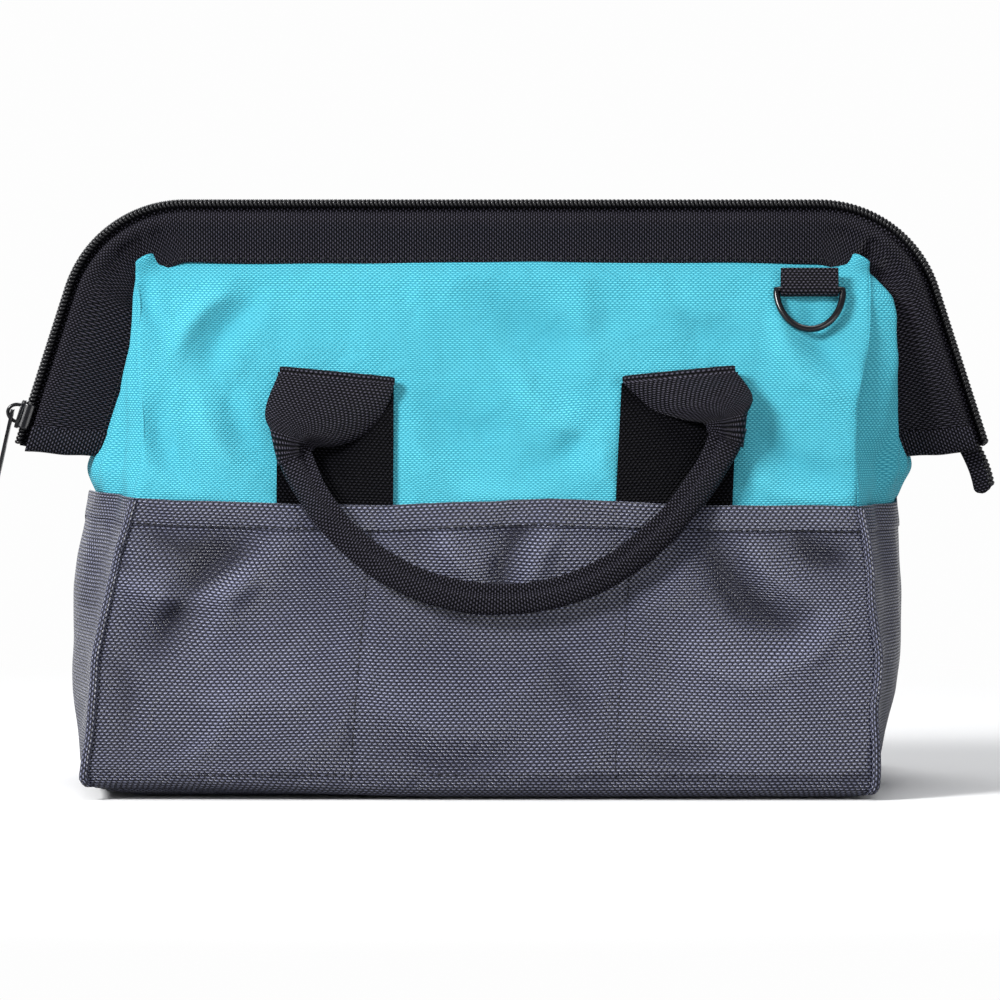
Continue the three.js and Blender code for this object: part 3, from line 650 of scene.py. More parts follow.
coatedFolds = [
    (-100, 106, -141, 64, 8.5, -4.6), (-161, 91, -106, 91, 6.0, 3.2), (-151, 112, -114, 107, 7.0, -2.8),
    (-163, 102, -156, 96, 3.0, -2.4), (-87, 110, -119, 66, 9.0, 2.8), (-134, 46, -70, 50, 24.0, 1.7),
    (-125, 16, -106, 42, 6.0, 1.6), (-152, 24, -160, 60, 6.0, -1.6), (17, 120, 3, 101, 5.5, -3.4),
    (3, 101, 6, 84, 5.5, -3.0), (-24, 114, -10, 94, 8.0, 2.8), (30, 112, 15, 88, 7.0, 2.8),
    (-46, 48, 26, 46, 26.0, 1.5), (-52, 62, -24, 34, 12.0, 1.2), (30, 62, 46, 34, 8.0, -1.4),
    (90, 106, 130, 71, 8.5, -4.2), (62, 80, 84, 104, 9.0, 1.8), (84, 67, 126, 50, 12.0, 2.6),
    (124, 54, 149, 80, 8.0, 3.0), (126, 112, 150, 99, 7.0, -3.8), (108, 107, 136, 84, 6.0, 2.2),
    (72, 43, 138, 44, 26.0, 1.5), (-34, 22, 12, 18, 7.0, -1.6), (64, 26, 104, 20, 7.0, -1.6),
]
hemWave = {
    "places": (-0.165, -0.14, -0.09, -0.05, -0.02, 0.02, 0.05, 0.09, 0.14, 0.165),
    "lifts": (0.0052, 0.0036, 0.0026, 0.0012, 0.0030, 0.0042, 0.0030, 0.0016, 0.0012, 0.0004),
}
seam = {"wander": 0.0024, "seed": 2.0, "spread": 16}  # spread counts columns to each side


def seamWander(table, corners, heights):
    # the corner seams wander a little, and draw the cloth beside them along
    amount, seed, spread = seam["wander"], seam["seed"], seam["spread"]
    count = table.shape[1]
    for i, corner in enumerate(corners):
        for r, z in enumerate(heights):
            fade = ramp(0.004, 0.03, z) * (1 - ramp(0.205, 0.222, z))
            push = amount * fade * ripple(z, 0.3 * i, 0, 27, seed + i)
            lift = amount * 0.6 * fade * ripple(z, 0.3 * i, 0, 34, seed + i + 9)
            for k in range(-spread, spread + 1):
                share = math.cos(k / spread * math.pi / 2) ** 2
                table[r, (corner + k) % count, 0] += push * share
                table[r, (corner + k) % count, 1] += lift * share
    return table


lowerLeft = reachTable([(0, 0.002, 0), (0.04, 0.011, 0.001), (0.084, 0.017, 0.002), (0.118, 0.0125, 0.004)])
lowerRight = reachTable([(0, 0.002, 0), (0.04, 0.012, 0.001), (0.084, 0.012, 0.002), (0.118, 0.008, 0.004)])
upperLeft = upperReach(0.008, 0.0035)
upperRight = upperReach(0.0065, 0.0165)
hanging = {"passes": 260, "sagKept": 0.25, "share": 0.6, "frames": 16, "mass": 0.25}


def foldsOnly(start, hung):
    # takes the broad sag of hung cloth back and keeps its folds
    shift = hung - start
    broad = shift.copy()
    for _ in range(hanging["passes"]):
        broad[1:-1] = (np.roll(broad[1:-1], 1, 1) + np.roll(broad[1:-1], -1, 1) + broad[:-2] + broad[2:]) / 4
        broad[0], broad[-1] = broad[1], broad[-2]
    return start + (shift - broad * (1 - hanging["sagKept"])) * hanging["share"]


def draped(piece, weights, slack, bending, pressure):
    # lets the cloth hang between its sewn lines, then keeps the shape it takes
    group = piece.vertex_groups.new(name="sewn")
    for index, weight in enumerate(weights):
        group.add([index], float(weight), "REPLACE")
    cloth = piece.modifiers.new("drape", "CLOTH")
    rules = cloth.settings
    rules.quality = 6
    rules.mass = hanging["mass"]
    rules.air_damping = 4
    rules.tension_stiffness = 30
    rules.compression_stiffness = 30
    rules.shear_stiffness = 12
    rules.bending_stiffness = bending
    rules.tension_damping = 12
    rules.compression_damping = 12
    rules.shear_damping = 8
    rules.bending_damping = 1
    rules.shrink_min = -slack
    rules.effector_weights.gravity = 0.08
    rules.use_pressure = True
    rules.uniform_pressure_force = pressure
    rules.vertex_group_mass = "sewn"
    rules.pin_stiffness = 1
    cloth.collision_settings.use_collision = False
    cloth.point_cache.frame_start = 1
    cloth.point_cache.frame_end = hanging["frames"]
    for step in range(1, hanging["frames"] + 1):
        deck.frame_set(step)
    baked(piece)
    piece.vertex_groups.clear()
    deck.frame_set(1)
    return piece


def tableOf(piece, rows, columns):
    co = np.zeros(rows * columns * 3)
    piece.data.vertices.foreach_get("co", co)
    return co.reshape(rows, columns, 3)


def smoothTable(table):  # one light pass; the first and the last row stay as they are
    inner = table[1:-1]
    near = (np.roll(inner, 1, 1) + np.roll(inner, -1, 1) + table[:-2] + table[2:]) / 4
    table[1:-1] = inner * 0.5 + near * 0.5
    return table


def shellPiece(name, table, columnsFrom, columnsTo, thickness):
    count = table.shape[1]
    columns = [c % count for c in range(columnsFrom, columnsTo + 1)]
    part = table[:, columns]
    u = runningLength(part[part.shape[0] // 2])
    v = runningLength(part[:, part.shape[1] // 2])
    uvs = np.stack(np.meshgrid(u, v), axis=-1)
    return thicken(gridPiece(name, part, uvs), thickness, levels=1)


def setPaintedFoldShade(piece, folds, side):  # paints fold shade for the cloth's material: -1 darkens a hollow, 1 lightens a ridge
    spots = np.array([vertex.co for vertex in piece.data.vertices])
    across = (spots[:, 0] - slumpAt(spots[:, 2])) * side
    tone = np.clip(foldField(across, spots[:, 2], folds, 1.0) / folding["fullShadeHeight"], -1, 1)
    stored = piece.data.attributes.new("paintedFoldShade", "FLOAT", "POINT")
    stored.data.foreach_set("value", tone.astype(np.float32))


# The dark lower part, with its three sewn bays front and back

pocket = {
    "hem": 0.1205, "rows": 46, "layer": 0.0054, "footRadius": 0.007, "bays": (-0.0545, 0.0575),
    "puff": 0.0032, "deepest": 0.0085, "leftLift": 0.0034, "baySeam": 0.0016, "thickness": 0.0014,
}
footRows = 6
turns = np.linspace(0, math.pi / 2, footRows)
lowHeights = [0.0006 + pocket["footRadius"] * (1 - math.cos(a)) for a in turns]
lowInsets = [pocket["footRadius"] * (1 - math.sin(a)) for a in turns]
rest = np.linspace(lowHeights[-1], pocket["hem"], pocket["rows"] + 1)[1:]
lowHeights = np.array(list(lowHeights) + list(rest))
lowInsets = np.array(list(lowInsets) + [0.0] * len(rest))


def bayPuff(share, z, side):
    x = share * float(halfLength(z))
    cuts = [-float(halfLength(z)), pocket["bays"][0], pocket["bays"][1], float(halfLength(z))]
    swell = np.zeros_like(x)
    for low, high in zip(cuts[:-1], cuts[1:]):
        inside = (x >= low) & (x <= high)
        swell[inside] = np.sin(math.pi * (x[inside] - low) / (high - low)) ** 0.7
    puffed = pocket["puff"] * swell * math.sin(math.pi * min(1, max(0, z) / pocket["hem"] * 0.93)) ** 0.8
    folds = foldField(x * side, np.full_like(x, z), coatedFolds, folding["gain"])
    folds = folds * ramp(0.004, 0.02, z)
    return puffed + np.maximum(folds, -pocket["deepest"] * (1 - 0.74 * ramp(0.085, 0.112, z)))


lowTable = shellTable(lowHeights, lowInsets, pocket["layer"], lowerLeft, lowerRight, bayPuff)
rowsLow, columnsRing = lowTable.shape[:2]
f, g = shellGrid["front"], shellGrid["gusset"]


def wrinkled(table, amount, scale, seed, stretch, low, high=1.0):
    # soft uneven folds, pushed in and out of the cloth
    rows, columns = table.shape[:2]
    out = table.copy()
    du = np.roll(table, -1, 1) - np.roll(table, 1, 1)
    dv = np.gradient(table, axis=0)
    normal = np.cross(du, dv)
    normal /= np.linalg.norm(normal, axis=2, keepdims=True) + 1e-12
    for r in range(rows):
        for c in range(columns):
            x, y, z = table[r, c]
            if z < low or z > high:
                continue
            n = ripple(x * stretch[0], y * stretch[1], z * stretch[2], scale, seed)
            n2 = ripple(x * stretch[0], y * stretch[1], z * stretch[2], scale * 2.3, seed + 4)
            out[r, c] += normal[r, c] * amount * (n + 0.45 * n2)
    return out


def ringObject(name, table):
    rows, columns = table.shape[:2]
    return meshPiece(name, table.reshape(-1, 3), gridFaces(rows, columns, True))


corners = [0, f, f + g, 2 * f + g]
lowTable = seamWander(lowTable, corners, lowHeights)
for r, z in enumerate(lowHeights):
    high = ramp(0.07, 0.118, z)
    low = 1 - ramp(0.0, 0.03, z)
    for c in range(columnsRing):
        x, y, _ = lowTable[r, c]
        lowTable[r, c, 2] += high * float(np.interp(x if y < 0 else -x, hemWave["places"], hemWave["lifts"]))
        toLeft = ramp(0.02, 0.16, -x)
        lowTable[r, c, 2] += pocket["leftLift"] * low * toLeft * ramp(0.0, 0.08, abs(y))
lowStart = wrinkled(lowTable, amount=0.0021, scale=17, seed=3.1, stretch=(1, 1, 1.5), low=0.010)
lowRing = ringObject("lowerRing", lowStart)
weights = np.zeros((rowsLow, columnsRing))
weights[:footRows - 1] = 1
weights[-3:] = 0.6
for c in corners:
    weights[:, c] = 0.9
bayColumns = []
for start, flip in ((0, 1), (f + g, -1)):
    for x in pocket["bays"]:
        share = (x / float(halfLength(0.06)) + 1) / 2
        column = start + int(round(f * (share if flip > 0 else 1 - share)))
        bayColumns.append(column)
        weights[:, column] = np.maximum(weights[:, column], 0.55)
draped(lowRing, weights.ravel(), slack=0.0035, bending=2.0, pressure=0.04)
lowShape = smoothTable(foldsOnly(lowStart, tableOf(lowRing, rowsLow, columnsRing)))
lowShape[:footRows] = lowStart[:footRows]
bpy.data.objects.remove(lowRing)
for r in range(footRows + 2, rowsLow):
    for c in bayColumns:
        for k, sink in ((-1, 0.35), (0, 1.0), (1, 0.35)):
            side = -1 if lowShape[r, c % columnsRing, 1] > 0 else 1
            lowShape[r, (c + k) % columnsRing, 1] += side * pocket["baySeam"] * sink
frontPocket = shellPiece("frontPocketPanel", lowShape, 0, f, pocket["thickness"])
rightLow = shellPiece("rightGussetLower", lowShape, f, f + g, pocket["thickness"])
backPocket = shellPiece("backPocketPanel", lowShape, f + g, 2 * f + g, pocket["thickness"])
leftLow = shellPiece("leftGussetLower", lowShape, 2 * f + g, 2 * f + 2 * g, pocket["thickness"])
finishPiece(frontPocket, "coatedCloth", "bag", "front_pocket_panel")
finishPiece(backPocket, "coatedCloth", "bag", "back_pocket_panel")
finishPiece(rightLow, "coatedCloth", "bag", "right_gusset_lower")
finishPiece(leftLow, "coatedCloth", "bag", "left_gusset_lower")
print("lower part done")


# The canvas upper part

canvasPart = {"from": 0.098, "to": 0.2295, "rows": 56, "layer": 0.0017, "thickness": 0.0012}


def canvasSwell(share, z, side):
    x = share * float(halfLength(z))
    fade = ramp(0.112, 0.128, z) * (1 - ramp(0.214, 0.2235, z))
    folded = foldField(x * side, np.full_like(x, z), canvasFolds, folding["gain"])
    behindFlap = ramp(0.166, 0.174, z) * smoothstep(0.034, 0.044, np.abs(x))
    behindFlap = behindFlap * (1 - smoothstep(0.108, 0.12, np.abs(x)))
    folded = folded - np.maximum(folded, 0.0) * behindFlap
    return (0.0016 * (1 - np.abs(share) ** 3) * (1 - behindFlap) + folded) * fade


def canvasTuck(z):  # the canvas goes in behind the band above and behind the pockets below
    return 0.0024 * ramp(0.2175, 0.2265, z) + 0.0018 * (1 - ramp(0.106, 0.122, z))


highHeights = np.linspace(canvasPart["from"], canvasPart["to"], canvasPart["rows"])
highInsets = np.zeros(len(highHeights))
highTable = shellTable(highHeights, highInsets, canvasPart["layer"], upperLeft, upperRight, canvasSwell,
    canvasTuck)
rowsHigh = len(highHeights)
highTable = seamWander(highTable, corners, highHeights)
highStart = wrinkled(highTable, amount=0.0015, scale=19, seed=7.7, stretch=(1, 1.5, 1.2), low=0.122,
    high=0.216)
gussetCrumple = {"amount": 0.0042, "scale": 36}
for r, z in enumerate(highHeights):
    strong = ramp(0.116, 0.126, z) * (1 - ramp(0.15, 0.2, z) * 0.4)
    strong *= 1 - ramp(0.214, 0.222, z)
    for c in list(range(f, f + g)) + list(range(2 * f + g, 2 * f + 2 * g)):
        x, y, _ = highTable[r, c]
        local = (c - f) % (f + g) / g
        crumple = 0.6 * ripple(math.copysign(0.1, x), y * 0.6, z * 1.5, gussetCrumple["scale"], 1.3)
        crumple += 0.8 * ripple(math.copysign(0.2, x), y * 2.2, z * 0.35, gussetCrumple["scale"], 6.1)
        push = math.copysign(1, x) * gussetCrumple["amount"] * strong * crumple
        highStart[r, c, 0] += push * math.sin(math.pi * local) ** 0.5
highRing = ringObject("upperRing", highStart)
weights = np.zeros((rowsHigh, columnsRing))
for r, z in enumerate(highHeights):
    if z < 0.117 or z > 0.219:
        weights[r] = 1
    for c in corners:
        weights[r, c] = max(weights[r, c], 0.8)
    for middle in (f + g // 2, 2 * f + g + g // 2):
        if 0.137 < z < 0.222:
            weights[r, middle - 1:middle + 2] = 1
draped(highRing, weights.ravel(), slack=0.0025, bending=1.5, pressure=0.03)
highShape = smoothTable(foldsOnly(highStart, tableOf(highRing, rowsHigh, columnsRing)))
seamCrease = {"depth": {-1: 0.0012, 1: 0.0040}, "columns": 10, "pleats": {-1: 0.0016, 1: 0.0022}}
for r, z in enumerate(highHeights):
    fade = ramp(0.124, 0.14, z) * (1 - ramp(0.205, 0.221, z))
    for first, side in ((f, 1), (2 * f + g, -1)):
        for k in range(g + 1):
            column = (first + k) % columnsRing
            fromCorner = min(k, g - k)
            inCrease = min(1.0, fromCorner / seamCrease["columns"])
            push = seamCrease["depth"][side] * math.sin(math.pi * inCrease) ** 2
            beyond = ramp(3, 9, fromCorner)
            beyond *= 1 - ramp(g / 2 - 4, g / 2 - 1, fromCorner)
            push -= seamCrease["pleats"][side] * beyond * math.sin(fromCorner * 0.95 + 1.6 * z / 0.1)
            highShape[r, column, 0] -= side * push * fade
topCorner = {  # the canvas spreads to the band's depth at its corners, and is rounded off there
    "depth": 0.0104, "reach": (0.0045, 0.0115), "round": 0.0036, "roundReach": 0.0034, "least": 0.004,
}
for r, z in enumerate(highHeights):
    up = ramp(0.216, 0.2215, z)
    if up == 0:
        continue
    for c in range(columnsRing):
        place = highShape[r, c]
        inward = min(abs(float(place[0] - highShape[r, k, 0])) for k in corners)
        onEnd = f <= c <= f + g or c >= 2 * f + g or c == 0
        near = up if onEnd else up * (1 - ramp(*topCorner["reach"], inward))
        depth = abs(float(place[1]))
        if near > 0 and onEnd:
            cornerDepth = depth if c in corners else abs(float(highShape[r, f, 1]))
            spread = max(0.0, topCorner["depth"] / max(topCorner["least"], cornerDepth) - 1)
            place[1] *= 1 + near * spread
        elif near > 0:
            place[1] = math.copysign(max(depth, depth + near * (topCorner["depth"] - depth)), place[1])
        away = 0.0 if onEnd else inward
        rounded = topCorner["round"] * math.exp(-((away / topCorner["roundReach"]) ** 2))
        place[2] -= rounded * ramp(0.2185, 0.2295, z)
bpy.data.objects.remove(highRing)
frontCanvas = shellPiece("frontCanvas", highShape, 0, f, canvasPart["thickness"])
rightHigh = shellPiece("rightGussetUpper", highShape, f, f + g, canvasPart["thickness"])
backCanvas = shellPiece("backCanvas", highShape, f + g, 2 * f + g, canvasPart["thickness"])
leftHigh = shellPiece("leftGussetUpper", highShape, 2 * f + g, 2 * f + 2 * g, canvasPart["thickness"])
# painted shade in the fold hollows and painted highlight on the ridges, read by the cloth's material
for piece, folds, side in (
    (frontPocket, coatedFolds, 1), (backPocket, coatedFolds, -1),
    (frontCanvas, canvasFolds, 1), (backCanvas, canvasFolds, -1),
):
    setPaintedFoldShade(piece, folds, side)
walls = {"front": frontCanvas, "back": backCanvas, "frontPocket": frontPocket, "backPocket": backPocket}
graph = bpy.context.evaluated_depsgraph_get()
surfaces = {side: BVHTree.FromObject(piece, graph) for side, piece in walls.items()}
finishPiece(frontCanvas, "canvas", "bag", "front_panel")
finishPiece(backCanvas, "canvas", "bag", "back_panel")
finishPiece(rightHigh, "canvas", "bag", "right_gusset_upper")
finishPiece(leftHigh, "canvas", "bag", "left_gusset_upper")
print("upper part done")


def onWall(side, x, z, lift=0.0):
    # the wall's outer face at a place seen from the front or the back, and its outward direction
    sign = -1 if side.startswith("front") else 1
    hit, normal, _, _ = surfaces[side].ray_cast(Vector((x, sign * 0.4, z)), Vector((0, -sign, 0)))
    if hit is None:
        depth = float(wallDepth(z)) + canvasPart["layer"]
        return Vector((x, sign * (depth + lift), z)), Vector((0, sign, 0.3)).normalized()
    if normal.y * sign < 0:
        normal.negate()
    return hit + normal * lift, normal


# Hem of the dark part, pipings, base

hem = {"drop": 0.0095, "thickness": 0.0005, "over": 0.0009, "behind": 0.0019}
hemRows = [r for r in range(rowsLow) if lowHeights[r] > pocket["hem"] - hem["drop"] - 0.002]


def hemPiece(name, first, last):
    columns = [c % columnsRing for c in range(first, last + 1)]
    part = lowShape[hemRows][:, columns]
    du = np.gradient(part, axis=1)
    dv = np.gradient(part, axis=0)
    normal = np.cross(du, dv)
    normal /= np.linalg.norm(normal, axis=2, keepdims=True)
    rowsFace = part + normal * 0.0001
    over = part[-1:] + np.array([0, 0, hem["over"]])
    behind = part[-1:] - normal[-1:] * hem["behind"] + np.array([0, 0, 0.0002])
    below = part[-3:-2] - normal[-3:-2] * hem["behind"]
    table = np.concatenate([rowsFace, over, behind, below], axis=0)
    u, v = runningLength(table[0]), runningLength(table[:, 0])
    piece = gridPiece(name, table, np.stack(np.meshgrid(u, v), axis=-1))
    return thicken(piece, hem["thickness"], offset=1, levels=1)


for name, first, last in (
    ("frontHem", 0, f), ("rightHem", f, f + g), ("backHem", f + g, 2 * f + g),
    ("leftHem", 2 * f + g, 2 * f + 2 * g),
):
    finishPiece(hemPiece(name, first, last), "coatedCloth", "bag")

piping = {"radius": 0.0019, "out": 0.0006}
pipeNodes = ["front_left_piping", "front_right_piping", "back_right_piping", "back_left_piping"]
for column, node, sx, sy in zip(corners, pipeNodes, (-1, 1, 1, -1), (-1, -1, 1, 1)):
    line = lowShape[2:, column]
    rings = []
    for p in line:
        x, y, z = Vector(p) + Vector((sx, sy, 0)) * piping["out"]
        angles = anglesRound(10)
        wide = piping["radius"]
        rings.append([(x + wide * math.cos(a), y + wide * math.sin(a), z) for a in angles])
    u = runningLength(line)
    name = "".join(w.capitalize() if i else w for i, w in enumerate(node.split("_")))
    finishPiece(tubePiece(name, rings, u), "coatedCloth", "bag", node)

sole = {"thickness": 0.0016, "rings": 10}
edge = lowShape[0]
middle = edge.mean(axis=0)
baseRings = [edge + np.array([0, 0, 0.0001])]
for k in range(1, sole["rings"] + 1):
    share = 1 - k / sole["rings"]
    ring = middle + (edge - middle) * share
    ring[:, 2] = 0.0007
    baseRings.append(ring)
baseTable = np.array(baseRings)
baseFaces = gridFaces(len(baseRings), columnsRing, True)
basePiece = meshPiece("basePanel", baseTable.reshape(-1, 3), baseFaces, baseTable[:, :, :2].reshape(-1, 2))
weld(basePiece, 1e-6)
if basePiece.data.polygons[0].normal.z > 0:
    basePiece.data.flip_normals()
thicken(basePiece, sole["thickness"])
finishPiece(basePiece, "coatedCloth", "bag", "base_panel")
print("hem, pipings and base done")


# Mouth: band, tape, coil

mouth = {
    "top": 0.247, "halfTop": 0.1843, "halfFoot": 0.2063, "cornerFoot": 0.213, "foot": 0.145,
    "widthTop": 0.022, "widthWing": 0.032, "level": 0.75, "face": 0.0080, "inner": 0.0014, "leaf": 0.0012,
}
legRun = mouth["halfFoot"] - mouth["halfTop"]
legRise = mouth["cornerFoot"] - mouth["foot"]
legLength = math.hypot(legRun, legRise)
legTurn = math.atan2(legRise, legRun)
cornerRadius = (mouth["top"] - mouth["cornerFoot"]) / (1 - math.cos(legTurn))
cornerX = mouth["halfTop"] - cornerRadius * math.sin(legTurn)
cornerZ = mouth["top"] - cornerRadius
cornerLength = cornerRadius * legTurn
mouthLength = 2 * legLength + 2 * cornerLength + 2 * cornerX


def mouthAt(s):  # place and inward direction in the XZ plane at a distance from the left wing's end
    if s > mouthLength / 2:
        x, z, ix, iz = mouthAt(mouthLength - s)
        return -x, z, -ix, iz
    if s < legLength:
        share = s / legLength
        x, z = -mouth["halfFoot"] + legRun * share, mouth["foot"] + legRise * share
        return x, z, legRise / legLength, -legRun / legLength
    if s < legLength + cornerLength:
        a = math.pi / 2 + legTurn - (s - legLength) / cornerRadius
        x, z = -cornerX + cornerRadius * math.cos(a), cornerZ + cornerRadius * math.sin(a)
        return x, z, -math.cos(a), -math.sin(a)
    return -cornerX + (s - legLength - cornerLength), mouth["top"], 0.0, -1.0


def onMouth(s, depth, y):
    x, z, ix, iz = mouthAt(s)
    fromEnd = min(s, mouthLength - s)
    along = mouth["level"] * max(0.0, depth) * legRun / legRise * max(0.0, 1 - fromEnd / 0.05)
    ax, az = (-iz, ix) if s < mouthLength / 2 else (iz, -ix)
    return x + ix * depth + ax * along, y, z + iz * depth + az * along


def bandWidth(s):
    fromEnd = min(s, mouthLength - s)
    share = 1 - min(1, fromEnd / (legLength + cornerLength))
    return mouth["widthTop"] + (mouth["widthWing"] - mouth["widthTop"]) * min(1, share * 2)


bandFold = {  # the band gathers in its corners; creases are shares of a corner's length and depths
    "gather": 0.0024, "edgeGather": 0.0008, "middle": 0.45, "reach": 0.026,
    "creases": ((0.30, 0.0016), (0.52, 0.0022), (0.80, 0.0014)), "creaseReach": 0.0055,
}


def bandSection(s):
    width = bandWidth(s)
    face, inner, leaf = mouth["face"], mouth["inner"], mouth["leaf"]
    fromEnd = min(s, mouthLength - s)
    inCorner = fromEnd - legLength
    gathered = math.exp(-(((inCorner - cornerLength * bandFold["middle"]) / bandFold["reach"]) ** 2))
    wave = 0.0005 * ripple(s, 0, 0, 38, 2.0)
    wave += gathered * bandFold["gather"] * (0.4 + ripple(s, 0, 0, 120, 2.0))
    for spot, deep in bandFold["creases"]:
        wave += deep * math.exp(-(((inCorner - cornerLength * spot) / bandFold["creaseReach"]) ** 2))
    edgeWave = 0.0010 * ripple(s, 0, 0, 26, 9.0)
    edgeWave += gathered * bandFold["edgeGather"] * ripple(s, 0, 0, 110, 4.0)
    tip = width + edgeWave
    middle = (-face - inner) / 2
    outside = [  # pairs of depth from the lip and place across the bag, from the tip up to the lip
        (tip, -face - 0.0003), (tip - 0.0008, -face - 0.0008), (width * 0.86, -face - 0.0003 + wave * 0.1),
        (width * 0.62, -face - 0.0002 + wave * 0.45), (width * 0.42, -face - 0.0003 + wave),
        (0.0065, -face - 0.0005 + wave), (0.0040, -face - 0.0006), (0.0018, -face + 0.0001),
        (0.0006, -face + 0.0009), (0.0, -face + 0.0022), (-0.0001, middle),
    ]
    insideLeaf = [
        (0.0, -inner - 0.0012), (0.0005, -inner - 0.0003), (0.0014, -inner), (0.006, -inner),
        (width * 0.6, -inner), (tip - 0.0004, -inner), (tip, -inner - leaf * 0.5),
        (tip - 0.0004, -inner - leaf), (width * 0.6, -inner - leaf), (0.006, -inner - leaf),
        (0.0024, -inner - leaf - 0.0006), (0.0016, middle),
    ]
    back = [
        (0.0024, -face + leaf + 0.0006), (0.006, -face + leaf), (width * 0.6, -face + leaf + max(0.0, wave)),
        (tip - 0.0008, -face + leaf - 0.0007), (tip, -face + leaf - 0.0010),
    ]
    return outside + insideLeaf + back


def sweepMouth(name, stations, section):
    rings, us = [], []
    for s in stations:
        rings.append([onMouth(s, d, y) for d, y in section(s)])
        us.append(s)
    return tubePiece(name, rings, us)


stationGap = 0.0022
stations = np.linspace(0, mouthLength, int(mouthLength / stationGap))
frontBand = sweepMouth("frontBand", stations, bandSection)
backBand = mirrored(frontBand, "backBand", 1)
finishPiece(frontBand, "bandWebbing", "bag", "front_band")
finishPiece(backBand, "bandWebbing", "bag", "back_band")

tape = {"outer": 0.0011, "split": 0.00015, "rise": 0.0031, "depth": 0.02}
tapeSection = [
    (-tape["rise"], -tape["outer"]), (-tape["rise"] - 0.0002, -0.0006), (-tape["rise"], -tape["split"]),
    (tape["depth"], -tape["split"]), (tape["depth"], -tape["outer"]), (0.004, -tape["outer"]),
]
frontTape = sweepMouth("frontZipTape", stations, lambda s: tapeSection)
backTape = mirrored(frontTape, "backZipTape", 1)
finishPiece(frontTape, "webbing", "bag", "front_zip_tape")
finishPiece(backTape, "webbing", "bag", "back_zip_tape")

coil = {"pitch": 0.0018, "wire": 0.00082, "low": 0.0026, "high": 0.0050, "out": 0.0034}


def coilItem():  # one turn of the coil; x runs along the zip, z out of the bag and y to the front
    rings = []
    steps = 14
    wire, along = coil["wire"], Vector((1, 0, 0))
    turns = anglesRound(6)
    for k in range(steps + 1):
        a = 2 * math.pi * k / steps
        y = -coil["out"] / 2 + 0.0004 + (coil["out"] / 2) * math.cos(a) * 0.92
        z = (coil["high"] - coil["low"]) / 2 * math.sin(a)
        x = coil["pitch"] * 0.4 * math.cos(a + 0.6)
        centre = Vector((x, y, z))
        out = Vector((0, math.cos(a), math.sin(a)))
        rings.append([centre + out * wire * math.cos(b) + along * wire * math.sin(b) for b in turns])
    return tubePiece("coilItem", rings, np.linspace(0, 0.01, steps + 1))


tooth = coilItem()
tooth.hide_render = True


def coilLine(offset, start, end):
    line = []
    for s in np.arange(start + offset, end, 0.001):
        fromLeft = max(0.0, 1 - s / 0.010)
        x, y, z = onMouth(s, -(coil["low"] + coil["high"]) / 2, -0.0013 * fromLeft)
        _, _, ix, iz = mouthAt(s)
        line.append(((x, y, z), (-ix, 0, -iz)))
    return line


zipEnds = (0.0015, mouthLength - 0.001)
frontCoil = rowPiece("frontZipCoil", [coilLine(0, *zipEnds)], tooth, coil["pitch"], "coilPlastic")
halfPitch = coil["pitch"] / 2
backRow = rowPiece("backZipCoilRow", [coilLine(halfPitch, *zipEnds)], tooth, coil["pitch"], "coilPlastic")
backCoil = mirrored(backRow, "backZipCoil", 1)
bpy.data.objects.remove(backRow)
finishPiece(frontCoil, "coilPlastic", "bag", "front_zip_chain")
finishPiece(backCoil, "coilPlastic", "bag", "back_zip_chain")
bpy.data.objects.remove(tooth)
print("band and zip done")


# Bindings at the wings' ends, and the folded tail of the zip

binding = {"rise": 0.010, "thickness": 0.0009, "width": 0.032}


def bindingPiece(name):  # a folded strip of webbing round the band's lower end
    inside = mouth["face"] + 0.0003
    outside = inside + binding["thickness"]
    x0, z0, ix, iz = mouthAt(0)
    ux, uz = -iz, ix
    rise = binding["rise"]
    section = [  # pairs of height from the band's lower edge and place across the bag
        (rise, -outside + 0.0003), (rise - 0.0004, -outside), (0.003, -outside - 0.0002),
        (0.0002, -outside + 0.0003), (-0.0012, -outside + 0.0014), (-0.0017, -inside * 0.5), (-0.0018, 0),
        (-0.0017, inside * 0.5), (-0.0012, outside - 0.0014), (0.0002, outside - 0.0003),
        (0.003, outside + 0.0002), (rise - 0.0004, outside), (rise, outside - 0.0003), (rise, inside),
        (0.004, inside), (0.0002, inside - 0.0006), (-0.0004, 0), (0.0002, -inside + 0.0006),
        (0.004, -inside), (rise, -inside),
    ]
    rings, us = [], []
    for depth in np.linspace(-0.0002, binding["width"], 24):
        sag = 0.0006 * ripple(depth, 0, 0, 90, 3)
        level = mouth["level"] * max(0.0, depth) * legRun / legRise
        startX, startZ = x0 + ix * depth, z0 + iz * depth
        rings.append([(startX + ux * (d + sag + level), y, startZ + uz * (d + sag + level))
            for d, y in section])
        us.append(depth)
    return tubePiece(name, rings, us)


leftBinding = bindingPiece("leftWingBinding")
rightBinding = mirrored(leftBinding, "rightWingBinding", 0)
finishPiece(leftBinding, "webbing", "bag", "left_wing_binding")
finishPiece(rightBinding, "webbing", "bag", "right_wing_binding")

tail = {
    "length": 0.0205, "width": 0.0085, "thickness": 0.0050, "out": 0.0040, "lean": 0.30, "fall": 0.95,
}


def tailSwing(s):  # the tail hangs in a slight bow
    return 0.0022 * math.sin(s * math.pi * 0.9)


def roundedEnd(s, start, least):  # 1 along the piece, then falling as a quarter circle from start to 1
    if s < start:
        return 1
    return math.sqrt(max(least, 1 - ((s - start) / (1 - start)) ** 2))


